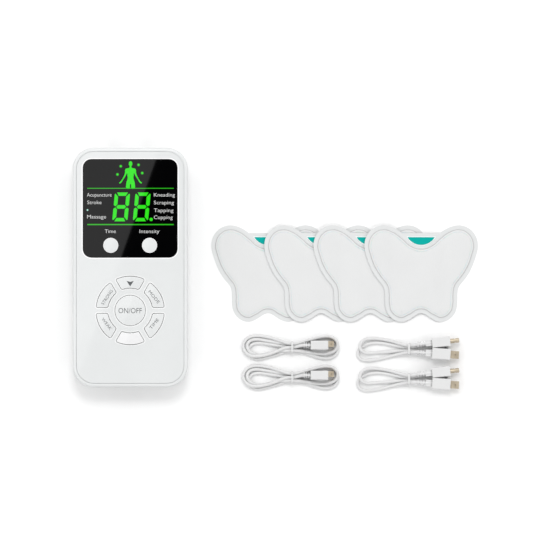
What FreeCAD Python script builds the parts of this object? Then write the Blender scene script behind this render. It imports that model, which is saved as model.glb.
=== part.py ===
import FreeCAD, Part
import math
import os
from FreeCAD import Vector

# Nerve stimulator kit: a handset lying on its back, a fan of four butterfly electrode pads, and four
# short leads tied in hanks. Millimetres. The origin is the centre of the handset's back face, +Y runs
# towards the handset's top end, +X towards the pads and +Z out of the front face.

# ---- driving sizes: handset casing ----
body_w = 62.5            # across
body_l = 130.0           # top end to bottom end
body_t = 18.0            # back face to rim
corner_r = 11.5          # in plan
wall = 1.8
split_z = 9.5            # where the two shells meet
rear_edge_r = 2.6
rim_edge_r = 1.3
rim_w = 1.9              # rim that shows round the face plate
deck_t = 1.4             # floor of the face recess
lip_w = 0.8
lip_h = 1.0
fit_gap = 0.12           # round pieces that are set in and stay put

# ---- front face ----
plate_t = 1.6
plate_sink = 0.1         # face plate below the rim
plate_edge_r = 0.2
window_side = 5.55       # window's edge from the casing's side
window_end = 6.15        # window's edge from the top end
window_l = 53.5
window_r = 4.6
window_rim_r = 0.3

# ---- keys ----
ring_up = 41.6           # centre of the key ring from the bottom end
key_gap = 0.3            # round every key
key_travel = 0.5
power_r = 8.4
ring_in = 12.1
ring_out = 18.7
ring_spacing = 3.0       # between neighbouring ring keys
ring_count = 6
key_corner_r = 1.0
round_r = 4.1
round_x = 10.55
round_up = 6.65          # centre of the round keys from the window's lower edge
crown_r = 90.0           # spherical top of each key
crown_rise = 0.3         # top of a key above the plate
key_edge_r = 0.25
flange_w = 0.7           # under the deck, keeps a key in
flange_t = 0.8
flange_gap = 0.05
stem_r = 1.7

# ---- electronics ----
board_t = 1.6
board_gap = 1.05         # between the board and the casing's walls
pillar_gap = 0.75        # between the board and the screw pillars
switch_w = 6.0
switch_h = 3.5
switch_room = 0.25       # between a pressed key's flange and the switches
switch_well_r = 1.85
switch_well = 1.7
display_side = 1.7       # display's edge from the window's edge
display_end = 0.5
display_l = 37.0
display_sink = 0.15      # under the window
jack_x = 9.0
jack_w = 6.2
jack_l = 10.8
jack_nose_r = 2.7
jack_nose_l = 1.5
jack_bore_r = 1.35
jack_bore = 10.6
jack_hole_gap = 0.2
jack_room = 0.2          # between the jacks and the rear shell's floor
port_gap = 0.1           # round the charge lead's metal tip
port_sink = 0.5          # mouth below the casing's end
port_hole_side = 0.5
port_hole_gap = 0.25
port_l = 6.4
port_skin = 0.35
port_tongue_t = 0.5
battery_w = 34.0
battery_l = 50.0
battery_t = 5.0
battery_rib_t = 1.0
battery_rib_h = 2.5
battery_up = 22.2        # battery's lower end from the bottom wall
battery_gap = 0.3
wire_r = 0.6
wire_run = 4.0
wire_x = 3.5
coil_w = 11.0
coil_l = 10.0
coil_h = 5.4
coil_x = 14.0
coil_down = 29.2         # from the top wall
chip_w = 9.0
chip_t = 1.2
chip_down = 39.2
buzzer_r = 6.0
buzzer_h = 5.4
buzzer_x = -12.0
buzzer_up = 12.7         # from the bottom wall
sound_hole_r = 0.7

# ---- screws ----
boss_in = 6.5            # boss centre from the outer sides
boss_r = 3.0
screw_r = 1.0
screw_gap = 0.06
screw_head_r = 1.9
screw_head_t = 1.5
screw_sink = 1.0
screw_bite = 4.0         # into the front pillar
post_r = 1.3
post_edge = 0.6          # between a post and the board's edge
post_y = 35.0

# ---- electrode pads ----
pad_shifts = (0.0, 28.9, 55.7, 83.4)
pad_start = 43.65        # first pad's middle from the casing's side
pad_mid_y = -3.2
liner_t = 0.2
gel_t = 0.45
cover_t = 0.35
layer_gap = 0.02
stack_gap = 0.2          # between one pad and the next
ramp = 12.0              # length over which a pad comes down off the one below
cover_inset = 2.2
gel_inset = 3.4
tab_t = 0.3
tab_half = 7.4
tab_drop = 4.15
tab_top = 19.65
bridge_top = 21.9        # straight top edge of the liner between the wings
bridge_half = 10.9

# ---- leads ----
cord_d = 1.8
lead_pitch = 16.35
charge_lead_at = (88.1, -43.5)
electrode_lead_at = (151.7, -44.4)
tie_w = 1.2
tie_t = 0.45
tie_gap = 0.15
bundle_w = 5.6           # three cords side by side with room to spare
bundle_h = 3.8           # two cords high
plug_gap = 0.1           # between a lead's two stacked plugs
root_l = 3.3             # where both ends of a charge lead leave its hank

relief_r = 1.5
relief_rings = 3
relief_spine = 0.9       # width of the spines that hold the rings together
plug_edge_r = 0.5
cord_grip = 0.8
neck_share = 0.6         # of a plug's width and thickness, for the neck behind its body
charge_plug = {"x": 10.0, "y": 1.2, "l": 9.6, "w": 4.9, "t": 3.4, "relief": 3.7, "neck": 0}
charge_shell = {"l": 3.1, "w": 3.1, "t": 1.7, "aside": 0.6}
flat_plug = {"x": 12.6, "y": -1.75, "l": 10.0, "w": 6.0, "t": 4.4, "relief": 8.0, "neck": 3.6}
flat_shell = {"l": 4.6, "w": 4.1, "t": 2.0, "aside": 0}
flat_turn = -4.0         # degrees, each plug turns away from its neighbour
pin_plug = {"x": 12.6, "y": 2.6, "l": 9.9, "w": 5.3, "t": 4.4, "relief": 8.0, "neck": 3.6}
pin_turn = 5.5
shell_skin = 0.3
latch_r = 0.4
metal_root = 1.5         # length of a contact inside its plug
pin_r = 1.25
pin_l = 4.9
pin_band_l = 0.7

# ---- worked out ----
window_w = body_w - 2 * window_side
window_y = body_l / 2 - window_end - window_l / 2
ring_y = ring_up - body_l / 2
round_y = window_y - window_l / 2 + round_up
deck_top = body_t - plate_sink - plate_t
deck_bottom = deck_top - deck_t
plate_top = deck_top + plate_t
key_top = plate_top + crown_rise
flange_top = deck_bottom - flange_gap
switch_top = flange_top - flange_t - key_travel - switch_room
board_top = switch_top - switch_h
board_z = board_top - board_t
stem_bottom = switch_top - switch_well + key_travel + 0.25
boss_x = body_w / 2 - boss_in
boss_y = body_l / 2 - boss_in
inner_end = body_l / 2 - wall
board_w = body_w - 2 * (wall + board_gap)
board_l = 2 * (boss_y - boss_r - pillar_gap)
board_tab_w = 2 * (boss_x - boss_r - pillar_gap)
board_tab_l = 2 * (inner_end - board_gap)
post_x = board_w / 2 - post_edge - post_r
display_w = window_w - 2 * display_side
display_y = window_y + window_l / 2 - display_end - display_l / 2
jack_z = (board_z + wall + jack_room) / 2
port_w = charge_shell["w"] + 2 * (port_gap + port_skin)
port_h = charge_shell["t"] + 2 * (port_gap + port_skin)
battery_y = battery_up + battery_l / 2 - inner_end
coil_y = inner_end - coil_down
chip_y = inner_end - chip_down
buzzer_y = buzzer_up - inner_end
pad_first_x = body_w / 2 + pad_start
pad_t = liner_t + gel_t + cover_t + 2 * layer_gap
pad_step = pad_t + stack_gap
fold_top = cord_d + 0.1


# ---- shapes ----
def block(x0, x1, y0, y1, z0, z1):
    return Part.makeBox(x1 - x0, y1 - y0, z1 - z0, Vector(x0, y0, z0))


def post(r, z0, z1, x=0.0, y=0.0):
    return Part.makeCylinder(r, z1 - z0, Vector(x, y, z0))


def along_y(r, y0, y1, x, z):
    return Part.makeCylinder(r, y1 - y0, Vector(x, y0, z), Vector(0, 1, 0))


def prism(face, z0, z1):
    solid = face.copy()
    solid.translate(Vector(0, 0, z0))
    return solid.extrude(Vector(0, 0, z1 - z0))


def rounded(w, l, r, x=0.0, y=0.0):
    """A rectangle with round corners, as a face at z 0."""
    a, b = w / 2 - r, l / 2 - r
    edges = []
    for n, (cx, cy) in enumerate(((a, b), (-a, b), (-a, -b), (a, -b))):
        turn = n * math.pi / 2
        points = []
        for step in (0, 1, 2):
            t = turn + step * math.pi / 4
            points.append(Vector(x + cx + r * math.cos(t), y + cy + r * math.sin(t), 0))
        edges.append(Part.Arc(*points).toShape())
    whole = []
    for n, edge in enumerate(edges):
        start = edge.Vertexes[-1].Point
        end = edges[(n + 1) % 4].Vertexes[0].Point
        whole.append(edge)
        whole.append(Part.makeLine(start, end))
    return Part.Face(Part.Wire(whole))


def slab(w, l, r, z0, z1, x=0.0, y=0.0):
    return prism(rounded(w, l, r, x, y), z0, z1)


def edges_at(solid, z, keep=lambda point: True):
    """Edges that lie flat at a height."""
    found = []
    for edge in solid.Edges:
        box = edge.BoundBox
        if abs(box.ZMin - z) < 1e-4 and abs(box.ZMax - z) < 1e-4 and keep(box.Center):
            found.append(edge)
    return found


def upright_edges(solid):
    return [e for e in solid.Edges if e.BoundBox.ZLength > 1e-3
            and e.BoundBox.XLength < 1e-4 and e.BoundBox.YLength < 1e-4]


def four(x, y):
    return [(x, y), (-x, y), (-x, -y), (x, -y)]


def save(name, shape):
    shape = shape.removeSplitter() if len(shape.Solids) == 1 else shape
    for solid in shape.Solids:
        if not solid.isValid() or solid.Volume <= 0:
            raise ValueError(name + " isn't a sound solid")
    if len(shape.Solids) == 1:
        shape = shape.Solids[0]
    shape.exportStep("parts/" + name + ".step")
    print(name, len(shape.Solids), "solids", round(shape.Volume, 2), "mm3")


# ---- keys ----
def ring_angle(n):
    return math.radians(90 + n * 360 / ring_count)


def ring_face(n, grow):
    """Outline of one ring key, grown on every side."""
    a = ring_angle(n)
    half_gap = ring_spacing / 2 - grow
    half = math.pi / ring_count

    def at(r, side):
        t = a + side * (half - math.asin(half_gap / r))
        return Vector(r * math.cos(t), ring_y + r * math.sin(t), 0)

    inner, outer = ring_in - grow, ring_out + grow
    mid_in = Vector(inner * math.cos(a), ring_y + inner * math.sin(a), 0)
    mid_out = Vector(outer * math.cos(a), ring_y + outer * math.sin(a), 0)
    return Part.Face(Part.Wire([
        Part.Arc(at(outer, -1), mid_out, at(outer, 1)).toShape(),
        Part.makeLine(at(outer, 1), at(inner, 1)),
        Part.Arc(at(inner, 1), mid_in, at(inner, -1)).toShape(),
        Part.makeLine(at(inner, -1), at(outer, -1)),
    ]))


def ring_prism(n, grow, z0, z1):
    solid = prism(ring_face(n, grow), z0, z1)
    return solid.makeFillet(key_corner_r + grow, upright_edges(solid))


def ring_middle(n):
    r = (ring_in + ring_out) / 2
    return r * math.cos(ring_angle(n)), ring_y + r * math.sin(ring_angle(n))


def key_places():
    """Each key's name, middle, and a function that gives its outline as a prism, grown by a gap."""
    names = ["arrow_button", "strong_button", "weak_button", "blank_button", "time_button", "mode_button"]
    places = [("power_button", (0.0, ring_y), lambda g, a, b: post(power_r + g, a, b, 0, ring_y))]
    for n, name in enumerate(names):
        places.append((name, ring_middle(n), lambda g, a, b, n=n: ring_prism(n, g, a, b)))
    for name, x in (("timer_button", -round_x), ("intensity_button", round_x)):
        places.append((name, (x, round_y), lambda g, a, b, x=x: post(round_r + g, a, b, x, round_y)))
    return places


def make_key(middle, outline):
    x, y = middle
    cap = outline(-key_gap, deck_bottom - flange_gap, key_top + 1)
    ball = Part.makeSphere(crown_r, Vector(x, y, key_top - crown_r))
    cap = cap.common(ball)
    crown = [f for f in cap.Faces if isinstance(f.Surface, Part.Sphere)]
    cap = cap.makeFillet(key_edge_r, crown[0].Edges)
    flange = outline(flange_w, flange_top - flange_t, flange_top)
    stem = post(stem_r, stem_bottom, flange_top, x, y)
    return cap.fuse(flange).fuse(stem)


# ---- casing ----
def outside(inset, z0, z1):
    return slab(body_w - 2 * inset, body_l - 2 * inset, corner_r - inset, z0, z1)


def lip_ring(gap, z1):
    outer = outside(wall - lip_w - gap, split_z - 0.01, z1)
    return outer.cut(outside(wall + 0.01, split_z - 1, z1 + 1))


def make_rear_shell():
    shell = outside(0, 0, split_z)
    shell = shell.makeFillet(rear_edge_r, edges_at(shell, 0))
    shell = shell.cut(outside(wall, wall, split_z + 1))
    shell = shell.fuse(lip_ring(0, split_z + lip_h))
    for x, y in four(boss_x, boss_y):
        shell = shell.fuse(post(boss_r, wall / 2, split_z, x, y).common(outside(wall / 2, 0, split_z)))
        shell = shell.cut(post(screw_r + 2 * screw_gap, -1, split_z + 1, x, y))
        shell = shell.cut(post(screw_head_r + 2 * screw_gap, -1, screw_sink + screw_head_t, x, y))
    for x, y in four(post_x, post_y):
        shell = shell.fuse(post(post_r, wall / 2, board_z, x, y))
    half_w, half_l = battery_w / 2 + battery_gap, battery_l / 2 + battery_gap
    for side in (-1, 1):
        at_x = side * (half_w + battery_rib_t / 2)
        shell = shell.fuse(block(at_x - battery_rib_t / 2, at_x + battery_rib_t / 2, battery_y - half_l, battery_y + half_l,
                                 wall / 2, wall + battery_rib_h))
        at_y = battery_y + side * (half_l + battery_rib_t / 2)
        shell = shell.fuse(block(-half_w / 2, half_w / 2, at_y - battery_rib_t / 2, at_y + battery_rib_t / 2,
                                 wall / 2, wall + battery_rib_h / 2))
    for x in (-jack_x, jack_x):
        shell = shell.cut(along_y(jack_nose_r + jack_hole_gap, inner_end - 2, body_l / 2 + 1, x, jack_z))
    slot_w, slot_h = port_w + 2 * port_hole_side, port_h + 2 * port_hole_gap
    middle_z = board_z - port_h / 2
    shell = shell.cut(block(-slot_w / 2, slot_w / 2, -body_l / 2 - 1, -inner_end + 2,
                            middle_z - slot_h / 2, middle_z + slot_h / 2))
    for step in range(5):
        turn = step * 2 * math.pi / 5
        spread = buzzer_r / 2
        shell = shell.cut(post(sound_hole_r, -1, wall + 1, buzzer_x + spread * math.cos(turn),
                               buzzer_y + spread * math.sin(turn)))
    return shell


def make_front_shell():
    shell = outside(0, split_z, body_t)
    shell = shell.makeFillet(rim_edge_r, edges_at(shell, body_t))
    shell = shell.cut(outside(wall, split_z - 1, deck_bottom))
    shell = shell.cut(outside(rim_w, deck_top, body_t + 1))
    shell = shell.cut(lip_ring(fit_gap, split_z + lip_h + fit_gap))
    for x, y in four(boss_x, boss_y):
        pillar = post(boss_r, split_z, deck_bottom + deck_t / 2, x, y)
        shell = shell.fuse(pillar.common(outside(wall + fit_gap, split_z, body_t)))
        shell = shell.cut(post(screw_r + screw_gap, split_z - 1, split_z + screw_bite + 0.5, x, y))
    for x, y in four(post_x, post_y):
        shell = shell.fuse(post(post_r, board_top, deck_bottom + deck_t / 2, x, y))
    shell = shell.cut(block(-display_w / 2 - fit_gap, display_w / 2 + fit_gap,
                            display_y - display_l / 2 - fit_gap, display_y + display_l / 2 + fit_gap,
                            deck_bottom - 1, deck_top + 1))
    for name, middle, outline in key_places():
        shell = shell.cut(outline(0, deck_bottom - 1, deck_top + 1))
    return shell


def make_face_plate():
    plate = outside(rim_w + fit_gap, deck_top, plate_top)
    plate = plate.makeFillet(plate_edge_r, edges_at(plate, plate_top))
    opening = slab(window_w + 2 * fit_gap, window_l + 2 * fit_gap, window_r + fit_gap,
                   deck_top - 1, plate_top + 1, 0, window_y)
    plate = plate.cut(opening)
    mouth = edges_at(plate, plate_top, lambda p: abs(p.x) < window_w / 2 + 1
                     and abs(p.y - window_y) < window_l / 2 + 1)
    plate = plate.makeFillet(window_rim_r, mouth)
    for name, middle, outline in key_places():
        if middle[1] < round_y:
            plate = plate.cut(outline(0, deck_top - 1, plate_top + 1))
    return plate


def make_display_window():
    window = slab(window_w, window_l, window_r, deck_top, plate_top, 0, window_y)
    window = window.makeFillet(plate_edge_r, edges_at(window, plate_top))
    for x in (-round_x, round_x):
        window = window.cut(post(round_r, deck_top - 1, plate_top + 1, x, round_y))
    return window


# ---- inside ----
def make_main_board():
    board = slab(board_w, board_l, 2.0, board_z, board_top)
    return board.fuse(slab(board_tab_w, board_tab_l, 2.0, board_z, board_top))


def make_switches():
    switches = []
    for name, (x, y), outline in key_places():
        half = switch_w / 2
        body = block(x - half, x + half, y - half, y + half, board_top, switch_top)
        switches.append(body.cut(post(switch_well_r, switch_top - switch_well, switch_top + 1, x, y)))
    return Part.makeCompound(switches)


def make_display():
    top = deck_top - display_sink
    body = block(-display_w / 2, display_w / 2, display_y - display_l / 2, display_y + display_l / 2,
                 board_top, top)
    for x in (-boss_x, boss_x):
        body = body.cut(post(boss_r + battery_gap, board_top - 1, deck_bottom + deck_t, x, boss_y))
    return body


def make_jacks():
    jacks = []
    for x in (-jack_x, jack_x):
        body = block(x - jack_w / 2, x + jack_w / 2, inner_end - jack_l, inner_end - fit_gap,
                     wall + jack_room, board_z)
        mouth = inner_end + jack_nose_l
        body = body.fuse(along_y(jack_nose_r, inner_end - 1, mouth, x, jack_z))
        jacks.append(body.cut(along_y(jack_bore_r, mouth - jack_bore, mouth + 1, x, jack_z)))
    return Part.makeCompound(jacks)


def make_port():
    back = port_sink + port_l - body_l / 2
    half = port_w / 2
    shell = slab(port_w, port_h, port_h / 3, 0, port_l)
    hollow = slab(port_w - 2 * port_skin, port_h - 2 * port_skin, port_h / 3 - port_skin, port_skin, port_l + 1)
    tongue = block(-half + 2 * port_skin, half - 2 * port_skin, -port_tongue_t / 2, port_tongue_t / 2,
                   0, port_l - 1)
    port = shell.cut(hollow).fuse(tongue)
    port.rotate(Vector(0, 0, 0), Vector(1, 0, 0), 90)
    port.translate(Vector(0, back, board_z - port_h / 2))
    return port


def make_battery():
    floor = wall + battery_gap
    cell = slab(battery_w, battery_l, 1.5, floor, floor + battery_t, 0, battery_y)
    return cell.makeFillet(0.6, edges_at(cell, floor) + edges_at(cell, floor + battery_t))


def tube(points, r):
    """A round tube along straight runs joined by tangent arcs, each 0.45 of its shorter run."""
    points = [Vector(*p) for p in points]
    edges, start = [], points[0]
    for before, corner, after in zip(points, points[1:], points[2:]):
        back, ahead = (before - corner), (after - corner)
        shorter = min(back.Length, ahead.Length)
        back.normalize()
        ahead.normalize()
        cut = 0.45 * shorter
        first, last = corner + back * cut, corner + ahead * cut
        half = (math.pi - back.getAngle(ahead)) / 2
        radius = cut / math.tan(half)
        inward = (back + ahead).normalize()
        middle = corner + inward * (radius / math.cos(half) - radius)
        edges.append(Part.makeLine(start, first))
        edges.append(Part.Arc(first, middle, last).toShape())
        start = last
        print("  bend radius", round(radius, 2))
    edges.append(Part.makeLine(start, points[-1]))
    path = Part.Wire(edges)
    ring = Part.Wire(Part.makeCircle(r, points[0], points[1] - points[0]))
    solid = path.makePipeShell([ring], True, True)
    print("  tube", round(solid.Volume, 3), "mm3, section times length", round(math.pi * r * r * path.Length, 3))
    return solid


def make_battery_leads():
    end = battery_y + battery_l / 2
    level = wall + battery_gap + battery_t / 2
    wires = []
    for x in (-wire_x, wire_x):
        wires.append(tube([(x, end, level), (x, end + wire_run, level), (x, end + wire_run, board_z)], wire_r))
    return Part.makeCompound(wires)


def make_coils():
    coils = []
    for x in (-coil_x, coil_x):
        top = board_z
        core = block(x - coil_w / 2, x + coil_w / 2, coil_y - coil_l / 2, coil_y + coil_l / 2, top - coil_h, top)
        notch_l = coil_l / 4
        for side in (-1, 1):
            at = coil_y + side * (coil_l / 2 - notch_l / 4)
            core = core.cut(block(x - coil_w / 4, x + coil_w / 4, at - notch_l / 2, at + notch_l / 2,
                                  top - coil_h - 1, top - coil_h / 2))
        coils.append(core)
    return Part.makeCompound(coils)


def make_chip():
    half = chip_w / 2
    chip = block(-half, half, chip_y - half, chip_y + half, board_z - chip_t, board_z)
    return chip.makeChamfer(0.3, edges_at(chip, board_z - chip_t))


def make_buzzer():
    can = post(buzzer_r, board_z - buzzer_h, board_z, buzzer_x, buzzer_y)
    return can.cut(post(1.0, board_z - buzzer_h - 1, board_z - buzzer_h / 2, buzzer_x, buzzer_y))


def make_screws():
    screws = []
    for x, y in four(boss_x, boss_y):
        seat = screw_sink + screw_head_t
        screw = post(screw_head_r, screw_sink, seat, x, y)
        screw = screw.fuse(post(screw_r, screw_sink, split_z + screw_bite, x, y))
        for w, l in ((0.5, 2.2), (2.2, 0.5)):
            screw = screw.cut(block(x - w / 2, x + w / 2, y - l / 2, y + l / 2, 0, screw_sink + 0.7))
        screws.append(screw)
    return Part.makeCompound(screws)


# ---- electrode pads ----
# The right half of a pad's edge, from the middle of the notch at the top to the notch at the foot.
wing = [(0.0, 15.5), (4.6, 16.9), (8.9, 20.6), (14.2, 24.4), (20.6, 26.1), (27.0, 23.7), (30.8, 16.6),
        (29.5, 8.4), (26.4, 0.9), (22.9, -4.2), (20.4, -7.6), (19.7, -11.6), (19.6, -16.6),
        (17.9, -22.3), (11.2, -26.4), (5.2, -24.3), (0.0, -21.7)]


def wing_curve():
    left = [(-x, y) for x, y in reversed(wing[1:-1])]
    curve = Part.BSplineCurve()
    curve.interpolate([Vector(x, y, 0) for x, y in wing + left], PeriodicFlag=True)
    return curve


def wing_face(inset):
    """The pad's outline, drawn in by an even margin."""
    curve = wing_curve()
    if inset > 0:
        count = 60
        first, last = curve.FirstParameter, curve.LastParameter
        points = []
        for n in range(count):
            t = first + (last - first) * n / count
            along = curve.tangent(t)[0]
            points.append(curve.value(t) + Vector(along.y, -along.x, 0) * inset)
        curve = Part.BSplineCurve()
        curve.interpolate(points, PeriodicFlag=True)
    return Part.Face(Part.Wire(curve.toShape()))


def tab_face():
    """A half moon that fills the foot of the top notch."""
    left, right = Vector(-tab_half, tab_top, 0), Vector(tab_half, tab_top, 0)
    low = Vector(0, tab_top - tab_drop, 0)
    return Part.Face(Part.Wire([Part.Arc(left, low, right).toShape(), Part.makeLine(right, left)]))


def pad_x(k):
    return pad_first_x + pad_shifts[k]


def band(k, low, high):
    """All that lies between two heights over the surface that pad k rests on, which steps down off
    each pad below it."""
    reach = wing[6][0]
    left, right = pad_x(k) - reach - 1, pad_x(k) + reach + 1
    below = [pad_x(j) + reach for j in range(k) if pad_x(j) + reach + ramp > left]
    edges = []
    start = Vector(left, 0, len(below) * pad_step)
    for step, edge_x in enumerate(below):
        z = (len(below) - step) * pad_step
        end = Vector(edge_x + 0.5, 0, z)
        foot = Vector(edge_x + 0.5 + ramp, 0, z - pad_step)
        middle = (end.x + foot.x) / 2
        edges.append(Part.makeLine(start, end))
        curve = Part.BezierCurve()
        curve.setPoles([end, Vector(middle, 0, end.z), Vector(middle, 0, foot.z), foot])
        edges.append(curve.toShape())
        start = foot
    finish = Vector(right, 0, 0)
    edges.append(Part.makeLine(start, finish))
    lift_low, lift_high = Vector(0, 0, low), Vector(0, 0, high)
    bottom = [e.translated(lift_low) for e in edges]
    top = [e.translated(lift_high) for e in edges]
    first = Vector(left, 0, len(below) * pad_step)
    sides = [Part.makeLine(first + lift_low, first + lift_high), Part.makeLine(finish + lift_low, finish + lift_high)]
    outline = Part.Wire(Part.__sortEdges__(bottom + top + sides))
    half = body_l / 2
    strip = Part.Face(outline).extrude(Vector(0, 2 * half, 0))
    strip.translate(Vector(0, pad_mid_y - half, 0))
    return strip


def pad_piece(k, face, low, high):
    tall = prism(face, -1, 3 * pad_step + 3)
    tall.translate(Vector(pad_x(k), pad_mid_y, 0))
    return tall.common(band(k, low, high))


def make_pad(k):
    name = "pad_%d_" % (k + 1)
    wings = wing_face(0)
    bridge = prism(wings, 0, 1).fuse(block(-bridge_half, bridge_half, 14.0, bridge_top, 0, 1))
    liner = bridge.removeSplitter().Solids[0]
    flat = [f for f in liner.Faces if abs(f.BoundBox.ZMax) < 1e-6][0]
    gel_low = liner_t + layer_gap
    cover_low = gel_low + gel_t + layer_gap
    save(name + "liner", pad_piece(k, flat, 0, liner_t))
    save(name + "gel", pad_piece(k, wing_face(gel_inset), gel_low, gel_low + gel_t))
    save(name + "cover", pad_piece(k, wing_face(cover_inset), cover_low, cover_low + cover_t))
    save(name + "tab", pad_piece(k, tab_face(), gel_low, gel_low + tab_t))


# ---- leads ----
def loop_face(points):
    curve = Part.BSplineCurve()
    curve.interpolate([Vector(x, y, 0) for x, y in points], PeriodicFlag=True)
    return Part.Face(Part.Wire(curve.toShape()))


def edges_along_x(shape, length):
    return [e for e in shape.Edges if e.BoundBox.XLength > 0.99 * length]


def make_hank(parts, windows, lift):
    """The outer shape of a tied hank: outlines at their heights, less the open middles of its loops."""
    hank = None
    for points, z0, z1 in parts:
        piece = prism(loop_face(points), z0, z1)
        hank = piece if hank is None else hank.fuse(piece)
    for points in windows:
        hank = hank.cut(prism(loop_face(points), -1, 12))
    slot = block(-tie_w / 2 - tie_gap, tie_w / 2 + tie_gap, -bundle_w, bundle_w, -1, lift)
    return hank.cut(slot)


def make_tie():
    w, h = bundle_w + 2 * tie_gap, bundle_h + 2 * tie_gap
    ring = slab(w + 2 * tie_t, h + 2 * tie_t, 2 * tie_t, -tie_w / 2, tie_w / 2)
    ring = ring.cut(slab(w, h, tie_t, -tie_w, tie_w))
    ring.rotate(Vector(0, 0, 0), Vector(1, 1, 1), 120)
    ring.translate(Vector(0, 0, h / 2 + tie_t))
    return ring


def make_plug(size, middle_z):
    """A moulded plug along +X with its slotted strain relief behind it."""
    x, y, l, w, t, relief, neck = (size[key] for key in ("x", "y", "l", "w", "t", "relief", "neck"))
    body = block(x, x + l, y - w / 2, y + w / 2, middle_z - t / 2, middle_z + t / 2)
    body = body.makeFillet(plug_edge_r, edges_along_x(body, l))
    back = Vector(x - relief, y, middle_z)
    body = body.fuse(Part.makeCylinder(relief_r, relief + metal_root, back, Vector(1, 0, 0)))
    ring_w = (relief - neck) / (2 * relief_rings)
    for n in range(relief_rings):
        at = back.x + ring_w * (2 * n + 1)
        for low in (y - relief_r - 1, y + relief_spine / 2):
            high = low + relief_r + 1 - relief_spine / 2
            body = body.cut(block(at, at + ring_w, low, high, middle_z - relief_r - 1, middle_z + relief_r + 1))
    if neck:
        half_w, half_t = neck_share * w / 2, neck_share * t / 2
        body = body.fuse(block(x - neck, x + metal_root, y - half_w, y + half_w, middle_z - half_t, middle_z + half_t))
    bore = Part.makeCylinder(cord_d / 2, relief - cord_grip, back - Vector(cord_grip, 0, 0), Vector(1, 0, 0))
    return body.cut(bore)


def make_shell(size, shell, middle_z):
    """The flat metal shell of a plug, open at its tip, with a latch hole in its top."""
    x = size["x"] + size["l"]
    y = size["y"] + shell["aside"]
    w, t, l = shell["w"], shell["t"], shell["l"]
    body = block(x - metal_root, x + l, y - w / 2, y + w / 2, middle_z - t / 2, middle_z + t / 2)
    hollow = block(x + shell_skin, x + l + 1, y - w / 2 + shell_skin, y + w / 2 - shell_skin,
                   middle_z - t / 2 + shell_skin, middle_z + t / 2 - shell_skin)
    latch = post(latch_r, middle_z, middle_z + t, x + 0.6 * l, y)
    return body.cut(hollow).cut(latch)


def make_pin(size, middle_z):
    x = size["x"] + size["l"]
    y = size["y"]
    ahead = Vector(1, 0, 0)
    pin = Part.makeCylinder(pin_r, metal_root + pin_l, Vector(x - metal_root, y, middle_z), ahead)
    tip = [e for e in pin.Edges if abs(e.BoundBox.XMin - x - pin_l) < 1e-4 and e.BoundBox.XLength < 1e-4]
    pin = pin.makeFillet(0.5, tip)
    band_at = Vector(x + 0.45 * pin_l, y, middle_z)
    groove = Part.makeCylinder(pin_r + 1, pin_band_l, band_at, ahead)
    groove = groove.cut(Part.makeCylinder(pin_r - 0.15, pin_band_l, band_at, ahead))
    return pin.cut(groove)


def place(shape, at, row):
    shape = shape.copy()
    shape.translate(Vector(at[0], at[1] - row * lead_pitch, 0))
    return shape


charge_outline = [(-27.3, 0.4), (-24.6, 5.1), (-19.4, 6.9), (-13.2, 6.3), (-6.0, 4.3), (0.0, 2.75), (6.4, 4.2),
               (13.2, 6.1), (18.6, 6.8), (23.2, 5.7), (25.2, 2.2), (25.8, -2.0), (24.3, -5.0), (19.8, -6.4),
               (13.4, -5.7), (6.4, -3.9), (0.0, -2.75), (-6.0, -4.2), (-12.0, -5.8), (-17.6, -6.9), (-22.6, -5.8),
               (-26.1, -3.2)]
charge_left_window = [(-20.9, -0.4), (-18.4, 1.5), (-13.6, 1.7), (-8.4, 0.6), (-7.0, -0.5), (-11.0, -1.9),
                      (-16.0, -3.1), (-19.8, -2.5)]
charge_right_window = [(4.0, 0.9), (8.0, 4.0), (15.0, 4.6), (20.8, 4.4), (23.0, 1.6), (21.6, -1.0), (15.0, -2.1),
                       (8.0, -1.8)]
electrode_outline = [(-28.2, -1.4), (-26.9, 2.0), (-24.3, 5.1), (-18.4, 6.1), (-12.2, 5.2), (-6.2, 3.6), (0.0, 2.65),
                     (1.6, 2.75), (3.6, 3.1), (4.9, 2.6), (4.9, -2.6), (3.6, -3.1), (1.6, -2.75), (0.0, -2.65),
                     (-6.2, -3.7), (-12.2, -5.1), (-18.2, -6.2), (-23.6, -6.0), (-27.0, -4.2)]
electrode_window = [(-22.6, 1.2), (-19.0, 1.9), (-13.6, 1.2), (-10.8, 0.6), (-13.6, 0.1), (-18.2, 0.0), (-22.0, 0.3)]
electrode_fold = [(-3.0, 2.2), (2.0, 2.4), (8.0, 4.2), (14.0, 5.9), (19.0, 5.2), (21.4, 0.0), (19.0, -5.2),
                  (14.0, -5.9), (8.0, -4.2), (2.0, -2.4), (-3.0, -2.2)]


def make_charge_leads():
    lift = tie_t + tie_gap
    low = charge_plug["t"] / 2
    shells, plugs = [], []
    for level in (low, low + charge_plug["t"] + plug_gap):
        shell = make_shell(charge_plug, charge_shell, level)
        shells.append(shell)
        plugs.append(make_plug(charge_plug, level).cut(shell))
    hank = make_hank([(charge_outline, 0, bundle_h + lift)], [charge_left_window, charge_right_window], lift)
    root_end = charge_plug["x"] - charge_plug["relief"]
    root_y = charge_plug["y"]
    root_top = low + charge_plug["t"] + plug_gap + cord_d / 2
    hank = hank.fuse(block(root_end - root_l, root_end, root_y - cord_d / 2, root_y + cord_d / 2, 0, root_top))
    for piece in shells + plugs:
        hank = hank.cut(piece)
    for row in (0, 1):
        name = "charge_lead_%d_" % (row + 1)
        save(name + "cable", place(hank, charge_lead_at, row))
        save(name + "tie", place(make_tie(), charge_lead_at, row))
        save(name + "plugs", place(Part.makeCompound(plugs), charge_lead_at, row))
        save(name + "shells", place(Part.makeCompound(shells), charge_lead_at, row))


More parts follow.
